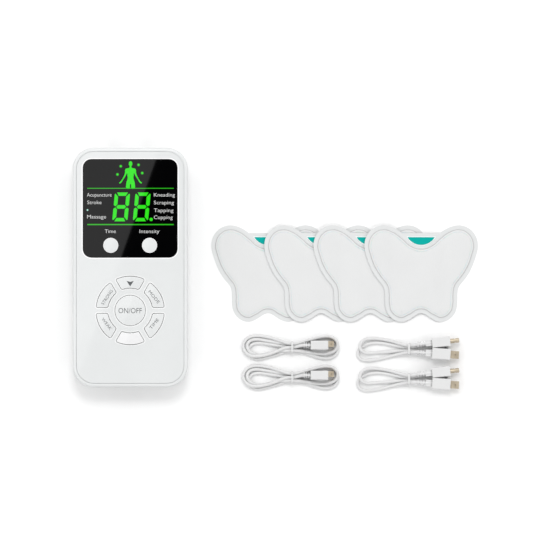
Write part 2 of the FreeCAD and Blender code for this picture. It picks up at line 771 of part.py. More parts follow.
def turned(shape, plug, turn):
    """A plug's piece turned about the back end of its strain relief."""
    shape = shape.copy()
    shape.rotate(Vector(plug["x"] - plug["relief"], plug["y"], 0), Vector(0, 0, 1), turn)
    return shape


def make_electrode_leads():
    lift = tie_t + tie_gap
    level = fold_top + flat_plug["t"] / 2
    shell = make_shell(flat_plug, flat_shell, level)
    flat = turned(make_plug(flat_plug, level).cut(shell), flat_plug, flat_turn)
    shell = turned(shell, flat_plug, flat_turn)
    pin = make_pin(pin_plug, level)
    round_plug = turned(make_plug(pin_plug, level).cut(pin), pin_plug, pin_turn)
    pin = turned(pin, pin_plug, pin_turn)
    parts = [(electrode_outline, 0, bundle_h + lift), (electrode_fold, 0, fold_top)]
    hank = make_hank(parts, [electrode_window], lift).cut(flat).cut(round_plug)
    for row in (0, 1):
        name = "electrode_lead_%d_" % (row + 1)
        save(name + "cable", place(hank, electrode_lead_at, row))
        save(name + "tie", place(make_tie(), electrode_lead_at, row))
        save(name + "flat_plug", place(flat, electrode_lead_at, row))
        save(name + "flat_shell", place(shell, electrode_lead_at, row))
        save(name + "pin_plug", place(round_plug, electrode_lead_at, row))
        save(name + "pin", place(pin, electrode_lead_at, row))


def main():
    os.makedirs("parts", exist_ok=True)
    save("rear_shell", make_rear_shell())
    save("front_shell", make_front_shell())
    save("face_plate", make_face_plate())
    save("display_window", make_display_window())
    for name, middle, outline in key_places():
        save(name, make_key(middle, outline))
    save("main_board", make_main_board())
    save("tact_switches", make_switches())
    save("display_module", make_display())
    save("output_jacks", make_jacks())
    save("charge_port", make_port())
    save("battery_cell", make_battery())
    save("battery_leads", make_battery_leads())
    save("output_coils", make_coils())
    save("control_chip", make_chip())
    save("buzzer", make_buzzer())
    save("housing_screws", make_screws())
    for k in range(len(pad_shifts)):
        make_pad(k)
    make_charge_leads()
    make_electrode_leads()


main()
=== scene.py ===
"""Gives a nerve stimulator kit its finish: the handset with its lit window and keys, four butterfly
electrode pads in a fan, and four short leads tied in hanks."""
import math

import bpy
import numpy as np
from mathutils import Matrix, Vector


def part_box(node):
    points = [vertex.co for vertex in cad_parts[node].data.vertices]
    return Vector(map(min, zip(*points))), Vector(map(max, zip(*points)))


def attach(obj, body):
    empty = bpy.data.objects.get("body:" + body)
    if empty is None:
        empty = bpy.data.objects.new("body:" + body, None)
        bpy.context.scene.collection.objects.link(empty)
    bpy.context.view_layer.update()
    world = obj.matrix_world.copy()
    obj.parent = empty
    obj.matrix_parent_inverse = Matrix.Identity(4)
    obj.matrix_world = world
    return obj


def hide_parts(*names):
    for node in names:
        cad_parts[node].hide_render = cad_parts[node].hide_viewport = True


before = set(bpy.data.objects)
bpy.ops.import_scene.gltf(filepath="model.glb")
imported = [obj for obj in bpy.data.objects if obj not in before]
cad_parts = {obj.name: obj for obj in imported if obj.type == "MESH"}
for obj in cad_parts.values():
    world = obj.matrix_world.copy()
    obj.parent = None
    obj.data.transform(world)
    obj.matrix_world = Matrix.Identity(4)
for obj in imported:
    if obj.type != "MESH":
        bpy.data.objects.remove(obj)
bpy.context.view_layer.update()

bl_info = {
    "name": "Nerve Stimulator Kit",
    "version": (1, 0, 0),
    "blender": (4, 5, 0),
    "location": "3D View > Sidebar > Stimulator",
    "description": "Dresses a nerve stimulator handset, its electrode pads and its tied leads",
    "category": "Object",
}

MM = 0.001
KEYS = ("power", "arrow", "strong", "weak", "blank", "time", "mode", "timer", "intensity")
RING = ("arrow", "mode", "time", "blank", "weak", "strong")
PADS = (1, 2, 3, 4)
ROWS = (1, 2)
RING_IN, RING_OUT, RING_SPACING = 12.1 * MM, 18.7 * MM, 3.0 * MM
RING_MIDDLE = (RING_IN + RING_OUT) / 2
POWER_R, ROUND_R = 8.4 * MM, 4.1 * MM
# Radius of the slight dome on each key.
KEY_CROWN = 90 * MM
# Radius of a ring key's corners, and width of the camera's sensor, in millimetres.
KEY_CORNER = 1.0
SENSOR = 36.0
# The two ends of the card's edge where it shows in the handset's front, in millimetres.
CARD_EDGE = ((14.1, 58.9), (-27.0, -56.0))
# How much of a letter's type size its capitals stand tall.
CAPITAL_SHARE = 0.72
# From a liner's top edge down to a pad's middle.
PAD_DROP = 26.15 * MM


# ---- settings a user would change ----
def length_setting(name, description, default):
    return bpy.props.FloatProperty(name=name, description=description, default=default, min=0.0,
                                   subtype="DISTANCE", unit="LENGTH", precision=5)


def colour_setting(name, description, default):
    return bpy.props.FloatVectorProperty(name=name, description=description, default=default, size=3,
                                         min=0.0, max=1.0, subtype="COLOR")


def amount_setting(name, description, default):
    return bpy.props.FloatProperty(name=name, description=description, default=default, min=0.0,
                                   subtype="FACTOR", soft_max=4.0)


class StageSettings(bpy.types.PropertyGroup):
    floor_colour: colour_setting("Floor", "Colour of the table top", (0.93, 0.93, 0.93))
    view_width: length_setting("View width", "Width of table that the camera sees", 0.290)
    centre_x: length_setting("View centre X", "Middle of the view, from the handset's middle", 0.0741)
    centre_y: length_setting("View centre Y", "Middle of the view, from the handset's middle", 0.0005)
    lens: bpy.props.FloatProperty(name="Lens", description="Focal length", default=1200.0, unit="CAMERA")
    room_light: amount_setting("Room light", "Brightness of the white room", 1.28)
    room_lean: amount_setting("Room lean", "How much brighter the room is past the handset's top end", 0.12)
    lamp_light: amount_setting("Lamp light", "Brightness that the lamp adds to the table", 0.21)
    card_light: amount_setting("Card light", "Brightness of the card that the gloss reflects", 0.8)


class HandsetSettings(bpy.types.PropertyGroup):
    casing_colour: colour_setting("Casing", "White of the casing and keys", (0.72, 0.735, 0.735))
    window_colour: colour_setting("Window", "Black of the display window", (0.0012, 0.0012, 0.0014))
    label_colour: colour_setting("Key labels", "Grey of the printed labels", (0.10, 0.105, 0.11))
    # The key-edge grey is painted shade: it stands for the shade in the gap round each key.
    edge_colour: colour_setting("Key edges", "Grey of the line along each key's edge", (0.10, 0.105, 0.105))
    label_height: length_setting("Label height", "Height of capitals on the ring keys", 1.75 * MM)
    ink: length_setting("Ink", "Thickness of print", 0.02 * MM)


class DisplaySettings(bpy.types.PropertyGroup):
    lit_colour: colour_setting("Lit colour", "Green of the digits", (0.03, 0.87, 0.012))
    rule_colour: colour_setting("Rule colour", "Green of the rules", (0.025, 0.50, 0.012))
    word_colour: colour_setting("Word colour", "Grey of the words", (0.85, 0.85, 0.85))
    digit_height: length_setting("Digit height", "Height of a digit", 15.7 * MM)
    digit_width: length_setting("Digit width", "Width of a digit before it is slanted", 8.3 * MM)
    digit_stroke: length_setting("Digit stroke", "Width of a lit segment", 2.0 * MM)
    digit_gap: length_setting("Segment gap", "Dark gap between segments", 0.50 * MM)
    digit_pitch: length_setting("Digit pitch", "From one digit to the next", 11.2 * MM)
    slant: bpy.props.FloatProperty(name="Slant", description="Lean of the digits",
                                   default=math.radians(5.5), subtype="ANGLE", unit="ROTATION")
    word_height: length_setting("Word height", "Height of capitals on the display", 2.05 * MM)


class PadSettings(bpy.types.PropertyGroup):
    fabric_colour: colour_setting("Fabric", "White of the pads' fabric", (0.70, 0.705, 0.705))
    film_colour: colour_setting("Film", "White of the release film", (0.68, 0.69, 0.69))
    tab_colour: colour_setting("Tab", "Teal of the half-moon tab", (0.002, 0.37, 0.33))
    cover_inset: length_setting("Cover inset", "Film that shows round the cover", 2.2 * MM)
    cloth_thickness: length_setting("Cloth", "Thickness of the fabric", 0.14 * MM)
    # The tab border is a painted highlight: a white strip along the tab's edge.
    tab_painted_highlight: length_setting("Tab border", "White edge round the tab", 0.45 * MM)


class LeadSettings(bpy.types.PropertyGroup):
    cord_colour: colour_setting("Cord", "White of the cords", (0.685, 0.685, 0.685))
    contact_colour: colour_setting("Contacts", "Gold of the contacts", (0.60, 0.52, 0.40))
    cord_diameter: length_setting("Cord diameter", "Diameter of a cord", 1.8 * MM)


# ---- materials ----
# The middle stretch of a noise, where most of it lies.
NOISE_LOW, NOISE_HIGH = 0.3, 0.7
# The polish of the clear window, and of what lies under it.
UNDER_GLASS = {"Roughness": 0.3, "Specular IOR Level": 0.0, "Coat Weight": 1.0, "Coat Roughness": 0.02}


def feed(node, inputs):
    """Links a node's sockets to other nodes' outputs, or sets them to constants."""
    for socket, value in inputs.items():
        if isinstance(value, bpy.types.NodeSocket):
            node.id_data.links.new(value, node.inputs[socket])
        else:
            node.inputs[socket].default_value = value


def add_node(tree, kind, inputs, **traits):
    """A new node with its traits and what goes into it."""
    node = tree.nodes.new("ShaderNode" + kind)
    for trait, value in traits.items():
        setattr(node, trait, value)
    feed(node, inputs)
    return node


class Finish:
    """A material in the making, with the steps that the finishes share."""

    def __init__(self, name):
        self.material = bpy.data.materials.new(name)
        self.material.use_nodes = True
        self.tree = self.material.node_tree
        self.shader = self.tree.nodes["Principled BSDF"]
        self.place = self.add("TexCoord", {}).outputs["Object"]

    def add(self, kind, inputs, **traits):
        return add_node(self.tree, kind, inputs, **traits)

    def noise(self, size, detail=3.0, roughness=0.5, place=None):
        """Noise whose blotches are about one size across."""
        node = self.add("TexNoise", {"Scale": 1.0 / size, "Detail": detail, "Roughness": roughness})
        feed(node, {"Vector": place or self.place})
        return node.outputs["Fac"]

    def stretched(self, scale, turn=0.0):
        """Coordinates drawn out along one way, which makes noise into fibres or scratches."""
        node = self.add("Mapping", {"Vector": self.place, "Rotation": (0, 0, turn), "Scale": scale})
        return node.outputs["Vector"]

    def ramp(self, factor, *stops):
        """A ramp between two stops, each a position and a colour."""
        node = self.add("ValToRGB", {"Fac": factor})
        for element, (position, colour) in zip(node.color_ramp.elements, stops):
            element.position = position
            element.color = (*colour, 1)
        return node

    def tint(self, factor, colour, depth):
        """A colour that noise darkens by up to a share."""
        dark = [c * (1 - depth) for c in colour]
        return self.ramp(factor, (NOISE_LOW, dark), (NOISE_HIGH, colour)).outputs["Color"]

    def mottle(self, size, colour, depth, detail=3.0):
        """Lets the colour drift by noise of a size."""
        feed(self.shader, {"Base Color": self.tint(self.noise(size, detail), colour, depth)})

    def vary_polish(self, factor, low, high):
        """Spreads the roughness over a range by a noise."""
        spread = self.add("MapRange", {"Value": factor, "From Min": NOISE_LOW, "From Max": NOISE_HIGH,
                                       "To Min": low, "To Max": high})
        feed(self.shader, {"Roughness": spread.outputs["Result"]})

    def emboss(self, height, distance, strength=0.5):
        bump = self.add("Bump", {"Height": height, "Strength": strength, "Distance": distance})
        feed(self.shader, {"Normal": bump.outputs["Normal"]})


def moulded_plastic(name, colour, rough, grain, depth, coat=0.0):
    """Moulded plastic: slow colour drift, uneven roughness and a moulded grain, under a clear coat."""
    skin = Finish(name)
    skin.mottle(22 * MM, colour, 0.03)
    skin.vary_polish(skin.noise(3 * MM), rough * 0.88, rough * 1.12)
    skin.emboss(skin.noise(grain, 4.0, 0.6), depth)
    feed(skin.shader, {"Coat Weight": coat, "Coat Roughness": 0.03})
    return skin.material


def colour_of(material):
    """A material's tree, its shader and what feeds the shader's colour."""
    shader = material.node_tree.nodes["Principled BSDF"]
    return material.node_tree, shader, shader.inputs["Base Color"].links[0].from_socket


def shade_edge(material, top, depth):
    """Greys what lies under a height, as on the rounded edge of a casing."""
    tree, shader, colour = colour_of(material)
    place = add_node(tree, "TexCoord", {}).outputs["Object"]
    parts = add_node(tree, "SeparateXYZ", {"Vector": place})
    fall = add_node(tree, "MapRange", {"Value": parts.outputs["Z"], "From Min": top - 0.9 * MM,
                                       "From Max": top - 0.02 * MM, "To Min": 1 - depth})
    shaded = add_node(tree, "VectorMath", {0: colour, "Scale": fall.outputs["Result"]}, operation="SCALE")
    feed(shader, {"Base Color": shaded.outputs["Vector"]})


def shade_recesses(material, reach):
    """Greys the piece's own narrow recesses, where little light gets in."""
    tree, shader, colour = colour_of(material)
    recess = add_node(tree, "AmbientOcclusion", {"Color": colour, "Distance": reach}, only_local=True)
    feed(shader, {"Base Color": recess.outputs["Color"]})


def window_glass(colour):
    """Black glass: deep, a little uneven under its clear face."""
    glass = Finish("window_black")
    feed(glass.shader, UNDER_GLASS)
    glass.mottle(12 * MM, colour, 0.25)
    glass.vary_polish(glass.noise(5 * MM), 0.22, 0.3)
    return glass.material


def lit_print(name, colour):
    """What glows through the glass: light with a fine unevenness, under the same clear face."""
    glow = Finish(name)
    feed(glow.shader, UNDER_GLASS)
    feed(glow.shader, {"Base Color": (0.004, 0.006, 0.004, 1), "Emission Strength": 1.0,
                       "Emission Color": glow.tint(glow.noise(0.9 * MM), colour, 0.12)})
    return glow.material


def lit_dot(name, colour, strength):
    """A small lamp that fades out from its middle, read from the disc's own map."""
    glow = Finish(name)
    chart = glow.add("UVMap", {}).outputs["UV"]
    centre = glow.add("Mapping", {"Vector": chart, "Location": (-1, -1, 0), "Scale": (2, 2, 1)})
    ball = glow.add("TexGradient", {"Vector": centre.outputs["Vector"]}, gradient_type="SPHERICAL")
    fade = glow.ramp(ball.outputs["Fac"], (0.12, (0, 0, 0)), (0.9, colour))
    fade.color_ramp.interpolation = "EASE"
    feed(glow.shader, UNDER_GLASS)
    feed(glow.shader, {"Base Color": (0.0035, 0.0035, 0.004, 1), "Emission Strength": strength,
                       "Emission Color": fade.outputs["Color"]})
    return glow.material


def printed_ink_and_painted_shade(name, colour):
    """Pad-printed ink, slightly thin in places. The same finish carries the painted shade along the keys'
    gaps.
    """
    ink = Finish(name)
    ink.mottle(0.5 * MM, colour, 0.15, 2.0)
    ink.vary_polish(ink.noise(0.4 * MM), 0.4, 0.55)
    return ink.material


def nonwoven(name, colour):
    """Pressed non-woven fabric: fine crossed fibres over soft blotches, with painted shade along the seam at
    its edge.
    """
    cloth = Finish(name)
    fibres = [cloth.noise(size, 5.0, 0.7, cloth.stretched((1.0, 0.18, 1.0), turn))
              for turn, size in ((0.5, 0.42 * MM), (-0.6, 0.36 * MM))]
    crossed = cloth.add("Math", dict(enumerate(fibres)), operation="MAXIMUM").outputs["Value"]
    layers = {"Factor": 1.0, 6: cloth.tint(crossed, colour, 0.035),
              7: cloth.tint(cloth.noise(14 * MM), (1, 1, 1), 0.02)}
    fabric = cloth.add("Mix", layers, data_type="RGBA", blend_type="MULTIPLY")
    # Darkens the fabric to 0.72 of its colour where the seam mask is set: painted shade along the seam.
    edge = cloth.add("Attribute", {}, attribute_name="seam_painted_shade")
    layers = {"Factor": edge.outputs["Fac"], 6: fabric.outputs[2], 7: [c * 0.72 for c in colour] + [1]}
    seam_painted_shade = cloth.add("Mix", layers, data_type="RGBA")
    feed(cloth.shader, {"Base Color": seam_painted_shade.outputs[2], "Roughness": 0.85, "Specular IOR Level": 0.25,
                        "Sheen Weight": 0.15, "Sheen Roughness": 0.5})
    cloth.emboss(crossed, 0.05 * MM, 0.6)
    return cloth.material


def soft_film(name, colour, rough=0.4):
    """Thin plastic film with a faint crinkle."""
    film = Finish(name)
    film.mottle(9 * MM, colour, 0.02)
    film.vary_polish(film.noise(2 * MM), rough * 0.85, rough * 1.15)
    film.emboss(film.noise(1.6 * MM, 4.0), 0.03 * MM, 0.4)
    return film.material


def cord_sleeve(name, colour):
    """Soft extruded sleeve: satin, with faint drag lines and blotches of handling."""
    sleeve = Finish(name)
    sleeve.mottle(6 * MM, colour, 0.03)
    sleeve.vary_polish(sleeve.noise(2 * MM), 0.42, 0.5)
    sleeve.emboss(sleeve.noise(0.35 * MM), 0.006 * MM, 0.3)
    return sleeve.material


def plated_metal(name, colour, rough, scratch):
    """Plated or bare metal with fine drawn scratches along X."""
    metal = Finish(name)
    lines = metal.noise(scratch, 4.0, place=metal.stretched((0.12, 1.0, 1.0)))
    metal.mottle(1.5 * MM, colour, 0.18)
    metal.vary_polish(lines, rough * 0.7, rough * 1.3)
    feed(metal.shader, {"Metallic": 1.0})
    metal.emboss(lines, 0.01 * MM, 0.3)
    return metal.material


def hydrogel():
    """Clear sticky gel, cloudy in places."""
    gel = Finish("pad_gel")
    gel.mottle(3 * MM, (0.66, 0.72, 0.72), 0.1)
    gel.vary_polish(gel.noise(2 * MM), 0.12, 0.3)
    feed(gel.shader, {"Subsurface Weight": 0.4, "Subsurface Scale": 0.5 * MM})
    return gel.material


def wound_wire():
    """Enamelled copper wire laid side by side."""
    wire = Finish("coil_copper")
    turns = wire.add("TexWave", {"Vector": wire.place, "Scale": 1.0 / (1.6 * MM), "Distortion": 0.6},
                     bands_direction="Y").outputs["Fac"]
    feed(wire.shader, {"Base Color": wire.tint(turns, (0.55, 0.22, 0.07), 0.5), "Metallic": 0.9})
    wire.vary_polish(wire.noise(1 * MM), 0.25, 0.4)
    wire.emboss(turns, 0.08 * MM, 0.8)
    return wire.material


def solder_mask():
    """Circuit board: green lacquer over faint copper tracks."""
    board = Finish("board_green")
    tracks = board.add("TexVoronoi", {}, distance="MANHATTAN", feature="DISTANCE_TO_EDGE")
    feed(tracks, {"Vector": board.place, "Scale": 1.0 / (5 * MM)})
    lacquer = board.ramp(tracks.outputs["Distance"], (0.05, (0.05, 0.32, 0.12)), (0.09, (0.015, 0.14, 0.05)))
    feed(board.shader, {"Base Color": lacquer.outputs["Color"]})
    board.vary_polish(board.noise(2 * MM), 0.25, 0.4)
    return board.material


# ---- workbench ----
def clear_bench():
    """Leaves edit mode with nothing selected."""
    if bpy.context.mode != "OBJECT":
        out_of_edit()
    bpy.ops.object.select_all(action="DESELECT")


def pick(piece):
    clear_bench()
    piece.select_set(True)
    bpy.context.view_layer.objects.active = piece


def into_edit():
    """Enters edit mode with everything selected."""
    bpy.ops.object.mode_set(mode="EDIT")
    bpy.ops.mesh.select_all(action="SELECT")


def out_of_edit():
    bpy.ops.object.mode_set(mode="OBJECT")


def pick_where(piece, test, kind="VERT"):
    """Selects, in edit mode, the vertices, edges or faces whose middle passes a test."""
    bpy.ops.object.mode_set(mode="EDIT")
    bpy.ops.mesh.select_mode(type=kind)
    bpy.ops.mesh.select_all(action="DESELECT")
    out_of_edit()
    mesh = piece.data
    for part in {"VERT": mesh.vertices, "EDGE": mesh.edges, "FACE": mesh.polygons}[kind]:
        ends = [part.index] if kind == "VERT" else part.vertices
        part.select = test(sum((mesh.vertices[n].co for n in ends), Vector()) / len(ends))
    bpy.ops.object.mode_set(mode="EDIT")


def add_modifier(piece, kind, **values):
    """Adds a modifier and applies it."""
    pick(piece)
    modifier = piece.modifiers.new(kind.lower(), kind)
    for key, value in values.items():
        setattr(modifier, key, value)
    bpy.ops.object.modifier_apply(modifier=modifier.name)


def fix_place(piece, x, y, turn=0.0):
    """Puts a piece at a place on the table and leaves the place in its mesh."""
    piece.location = (x, y, 0)
    piece.rotation_euler.z = math.radians(turn)
    bpy.ops.object.transform_apply(location=True, rotation=True, scale=True)


def settle(piece, name, body, material):
    """Leaves a finished piece's place in its mesh, names it, gives it its finish and its body."""
    pick(piece)
    bpy.ops.object.transform_apply(location=True, rotation=True, scale=True)
    piece.name = name
    piece.data.name = name
    piece.data.materials.clear()
    piece.data.materials.append(material)
    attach(piece, body)
    return piece


def dress(material, *nodes):
    """Gives pieces of the frame, which keep their own meshes, a finish."""
    for node in nodes:
        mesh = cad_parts[node].data
        mesh.materials.clear()
        mesh.materials.append(material)


def closed_curve(outlines, smooth, fill, resolution):
    """A flat curve of closed outlines: corners, or points that a smooth line runs through."""
    clear_bench()
    curve = bpy.data.curves.new("shape", "CURVE")
    curve.dimensions = "2D"
    curve.fill_mode = fill
    curve.resolution_u = resolution
    for points in outlines:
        spline = curve.splines.new("BEZIER" if smooth else "POLY")
        knots = spline.bezier_points if smooth else spline.points
        knots.add(len(points) - 1)
        for knot, (x, y) in zip(knots, points):
            knot.co = (x, y, 0) if smooth else (x, y, 0, 1)
            if smooth:
                knot.handle_left_type = "AUTO"
                knot.handle_right_type = "AUTO"
        spline.use_cyclic_u = True
    piece = bpy.data.objects.new("shape", curve)
    bpy.context.scene.collection.objects.link(piece)
    pick(piece)
    return piece


def raise_solid(thickness):
    """Raises the flat mesh in edit mode into a solid whose faces point outwards."""
    bpy.ops.mesh.select_all(action="SELECT")
    bpy.ops.mesh.extrude_region_move(TRANSFORM_OT_translate={"value": (0, 0, thickness)})
    bpy.ops.mesh.select_all(action="SELECT")
    bpy.ops.mesh.normals_make_consistent(inside=False)
    out_of_edit()


def flat_shape(outlines, thickness, smooth=False):
    """A flat plate with its underside at height 0."""
    piece = closed_curve(outlines, smooth, "BOTH", 8)
    piece.data.extrude = thickness / 2
    bpy.ops.object.convert(target="MESH")
    piece = bpy.context.view_layer.objects.active
    piece.location.z = thickness / 2
    bpy.ops.object.transform_apply(location=True, rotation=False, scale=False)
    into_edit()
    bpy.ops.mesh.remove_doubles(threshold=thickness / 50)
    bpy.ops.mesh.normals_make_consistent(inside=False)
    out_of_edit()
    return piece


def round_outline(radius, count):
    """Points evenly round a circle about the origin."""
    turns = np.linspace(0, 2 * math.pi, count + 1)[:-1]
    return [(radius * math.cos(t), radius * math.sin(t)) for t in turns]


def edge_strip(points, corners, corner_r, width, thickness):
    """A flat strip just inside an outline whose corners are rounded, with its underside at height 0."""
    clear_bench()
    bpy.ops.mesh.primitive_circle_add(vertices=len(points), radius=1 * MM, fill_type="NGON")
    piece = bpy.context.view_layer.objects.active
    for vertex, (x, y) in zip(piece.data.vertices, points):
        vertex.co = (x, y, 0)
    if corners:
        pick_where(piece, lambda co: any(math.dist(co[:2], corner) < 0.01 * MM for corner in corners))
        bpy.ops.mesh.bevel(offset=corner_r, segments=5, affect="VERTICES")
    bpy.ops.object.mode_set(mode="EDIT")
    bpy.ops.mesh.select_mode(type="FACE")
    bpy.ops.mesh.select_all(action="SELECT")
    bpy.ops.mesh.inset(thickness=width, depth=0.0)
    bpy.ops.mesh.delete(type="FACE")
    raise_solid(thickness)
    return piece


def word(text, capital, thickness, width):
    """A word as a thin plate of a width, centred, standing on its baseline."""
    clear_bench()
    bpy.ops.object.text_add(location=(0, 0, 0))
    piece = bpy.context.view_layer.objects.active
    piece.data.body = text
    piece.data.size = capital / CAPITAL_SHARE
    piece.data.align_x = "CENTER"
    piece.data.extrude = thickness / 2
    piece.data.offset = -0.006 * capital
    piece.data.resolution_u = 3
    bpy.ops.object.convert(target="MESH")
    piece = bpy.context.view_layer.objects.active
    corners = [v.co.x for v in piece.data.vertices]
    middle = (min(corners) + max(corners)) / 2
    stretch = width / (max(corners) - min(corners))
    piece.data.transform(Matrix.Translation((-middle, 0, thickness / 2)))
    piece.data.transform(Matrix.Diagonal((stretch, 1, 1, 1)))
    return piece


# ---- stage ----
class KIT_OT_stage(bpy.types.Operator):
    """Lay the table, hang the lights and set the camera above it"""
    bl_idname = "kit.stage"
    bl_label = "Stage"

    def execute(self, context):
        settings = context.scene.kit_stage
        self.lay_table(settings)
        self.light_room(context, settings)
        height = self.set_camera(context, settings)
        self.hang_lamp(settings)
        self.hang_card(settings, height)
        return {"FINISHED"}

    def lay_table(self, settings):
        clear_bench()
        bpy.ops.mesh.primitive_grid_add(x_subdivisions=8, y_subdivisions=8, size=6.0,
                                        location=(0, 0, -0.02 * MM))
        table = bpy.context.view_layer.objects.active
        table.name = "table"
        top = Finish("table_top")
        top.mottle(0.4, tuple(settings.floor_colour), 0.01)
        feed(top.shader, {"Roughness": 0.9, "Specular IOR Level": 0.1})
        table.data.materials.append(top.material)

    def light_room(self, context, settings):
        """A white room, dimmer at the walls' feet, and dark straight overhead, where polished faces look."""
        world = bpy.data.worlds.new("room")
        context.scene.world = world
        world.use_nodes = True
        tree = world.node_tree
        facing = add_node(tree, "TexCoord", {}).outputs["Generated"]
        parts = add_node(tree, "SeparateXYZ", {"Vector": facing})
        ramp = add_node(tree, "ValToRGB", {"Fac": parts.outputs["Z"]})
        dome = ((0.0, 0.35), (0.5, 1.0), (math.cos(math.radians(30)), 1.0),
                (math.cos(math.radians(16)), 0.0))
        ramp.color_ramp.elements[0].position = dome[0][0]
        ramp.color_ramp.elements[1].position = dome[-1][0]
        for position, _ in dome[1:-1]:
            ramp.color_ramp.elements.new(position)
        for element, (position, level) in zip(ramp.color_ramp.elements, dome):
            element.color = (level, level, level, 1)
        low, high = (settings.room_light * (1 + way * settings.room_lean) for way in (-1, 1))
        side = add_node(tree, "MapRange", {"Value": parts.outputs["Y"], "From Min": -1.0,
                                           "To Min": low, "To Max": high})
        feed(tree.nodes["Background"], {"Strength": side.outputs["Result"], "Color": ramp.outputs["Color"]})

    def set_camera(self, context, settings):
        camera = bpy.data.objects.new("camera", bpy.data.cameras.new("camera"))
        context.scene.collection.objects.link(camera)
        camera.data.lens = settings.lens
        camera.data.sensor_width = SENSOR
        height = settings.view_width * settings.lens / SENSOR + 8 * MM
        camera.location = (settings.centre_x, settings.centre_y, height)
        context.scene.camera = camera
        return height

    def hang_lamp(self, settings):
        """A broad lamp beyond the handset's top end."""
        clear_bench()
        distance, tilt = 3.2, math.radians(26)
        place = (settings.centre_x * 0.6, distance * math.sin(tilt), distance * math.cos(tilt))
        bpy.ops.object.light_add(type="AREA", location=place)
        lamp = bpy.context.view_layer.objects.active
        lamp.name = "lamp"
        lamp.rotation_euler = (-tilt, 0, 0)
        lamp.data.shape = "DISK"
        lamp.data.size = 1.0
        lamp.data.energy = settings.lamp_light * (math.pi * distance) ** 2 / math.cos(tilt)
        lamp.data.specular_factor = 0.3
        lamp.visible_camera = False

    def hang_card(self, settings, camera_height):
        """A lit card whose straight edge shows as a slanting line in the polished front."""
        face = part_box("display_window")[1].z
        rise = 0.6
        swing = 1 + rise / (camera_height - face)
        centre = Vector((settings.centre_x, settings.centre_y))
        ends = [centre + (Vector(point) * MM - centre) * swing for point in CARD_EDGE]
        along = (ends[0] - ends[1]).normalized()
        left = Vector((-along.y, along.x))
        wide, tall = 0.15, 0.30
        middle = (ends[0] + ends[1]) / 2 + left * wide / 2
        clear_bench()
        bpy.ops.object.light_add(type="AREA", location=(middle.x, middle.y, face + rise))
        card = bpy.context.view_layer.objects.active
        card.name = "card"
        card.rotation_euler = (0, 0, math.atan2(along.y, along.x) - math.pi / 2)
        card.data.shape = "RECTANGLE"
        card.data.size = wide
        card.data.size_y = tall
        card.data.energy = settings.card_light * math.pi * wide * tall
        card.visible_camera = False
        card.visible_diffuse = False


# ---- leads ----
# Each lead's route in millimetres from its tie, plug to plug: x, y and height of the cord's middle.
CHARGE_ROUTE = [
    (8.2, 1.2, 5.2), (7, 1.2, 5.2), (5.6, 1.15, 5.1), (4, 0.8, 4.6), (2.2, 0.3, 3.7), (0.8, 0.05, 3.2),
    (-0.8, 0, 3.15), (-3, -0.1, 3.1), (-6, -1, 3.3), (-9, -2.4, 2.9), (-12, -3.5, 2.7),
    (-15, -4.3, 2.7), (-18, -4.8, 2.7), (-20.6, -4.9, 2.7), (-22.9, -4.5, 2.7), (-24.9, -3.2, 2.4),
    (-26.3, -1.3, 1.9), (-26.9, 0.9, 1.4), (-26.2, 3.1, 1.1), (-24.4, 5.1, 0.95), (-21.6, 6.2, 0.95),
    (-18.4, 6.4, 0.95), (-15.2, 6, 1), (-12, 5.3, 1.1), (-9, 4.4, 1.4), (-6, 3.4, 2.1), (-3, 2.4, 2.9),
    (0, 1.9, 3.2), (3, 2.2, 3), (6, 3, 2.75), (9, 4, 2.7), (12, 4.9, 2.7), (15, 5.6, 2.7),
    (18, 6.1, 2.7), (21, 5.9, 2.7), (23.4, 4.7, 2.7), (24.8, 2.5, 2.7), (24.6, -0.1, 2.5),
    (22.9, -2.1, 2), (20, -3.1, 1.4), (17, -3.6, 1.05), (14, -3.5, 1), (11, -3, 1.6), (8, -2.5, 2.2),
    (5, -2, 2.7), (2.5, -1.8, 2.9), (0, -1.9, 3.15), (-3, -1.9, 2.9), (-6, -1.8, 1.9), (-9, -2.4, 1.05),
    (-12, -3.2, 0.9), (-15, -3.9, 0.9), (-18, -4.3, 0.9), (-20.2, -3.9, 1.3), (-22.6, -2.9, 2.3),
    (-24.2, -1.1, 2.5), (-24.7, 1.1, 1.8), (-23.7, 3.1, 1.2), (-21.6, 4.2, 0.9), (-18.6, 4.4, 0.9),
    (-15.5, 3.9, 0.9), (-12, 3.3, 0.9), (-9, 2.7, 0.9), (-6, 2.3, 0.95), (-3, 1.9, 1.15),
    (0, 1.9, 1.35), (3, 2.2, 1.15), (6, 3, 0.95), (9, 4, 0.9), (12, 4.9, 0.9), (15, 5.6, 0.9),
    (18, 6, 0.9), (21, 5.6, 0.9), (23.3, 4, 0.9), (24.7, 1.7, 0.9), (25.1, -0.9, 0.9),
    (24.4, -3.3, 0.9), (22.6, -5.2, 0.9), (20.2, -6, 0.9), (17.4, -6.1, 0.9), (14.5, -5.6, 0.9),
    (11.6, -4.7, 0.9), (8.7, -3.7, 0.9), (5.8, -2.9, 0.95), (2.9, -2.2, 1.15), (0, -1.9, 1.35),
    (-3, -2.3, 1.15), (-6, -3.3, 0.95), (-9, -4.2, 0.9), (-12, -5, 0.9), (-15, -5.8, 0.9),
    (-17.8, -6.4, 0.9), (-20.4, -6.3, 0.9), (-22.6, -5.2, 0.9), (-23.9, -3.1, 0.9), (-23.8, -0.7, 0.9),
    (-22.4, 1.2, 0.9), (-20.2, 2.2, 0.9), (-17.6, 2.3, 0.9), (-14.6, 1.9, 0.9), (-11.5, 1.4, 0.9),
    (-8.5, 0.9, 0.9), (-5.6, 0.4, 0.95), (-2.8, 0.1, 1.15), (0, 0, 1.35), (2.6, 0.4, 1.45),
    (5.2, 1, 1.65), (7, 1.2, 1.7), (8.2, 1.2, 1.7)]
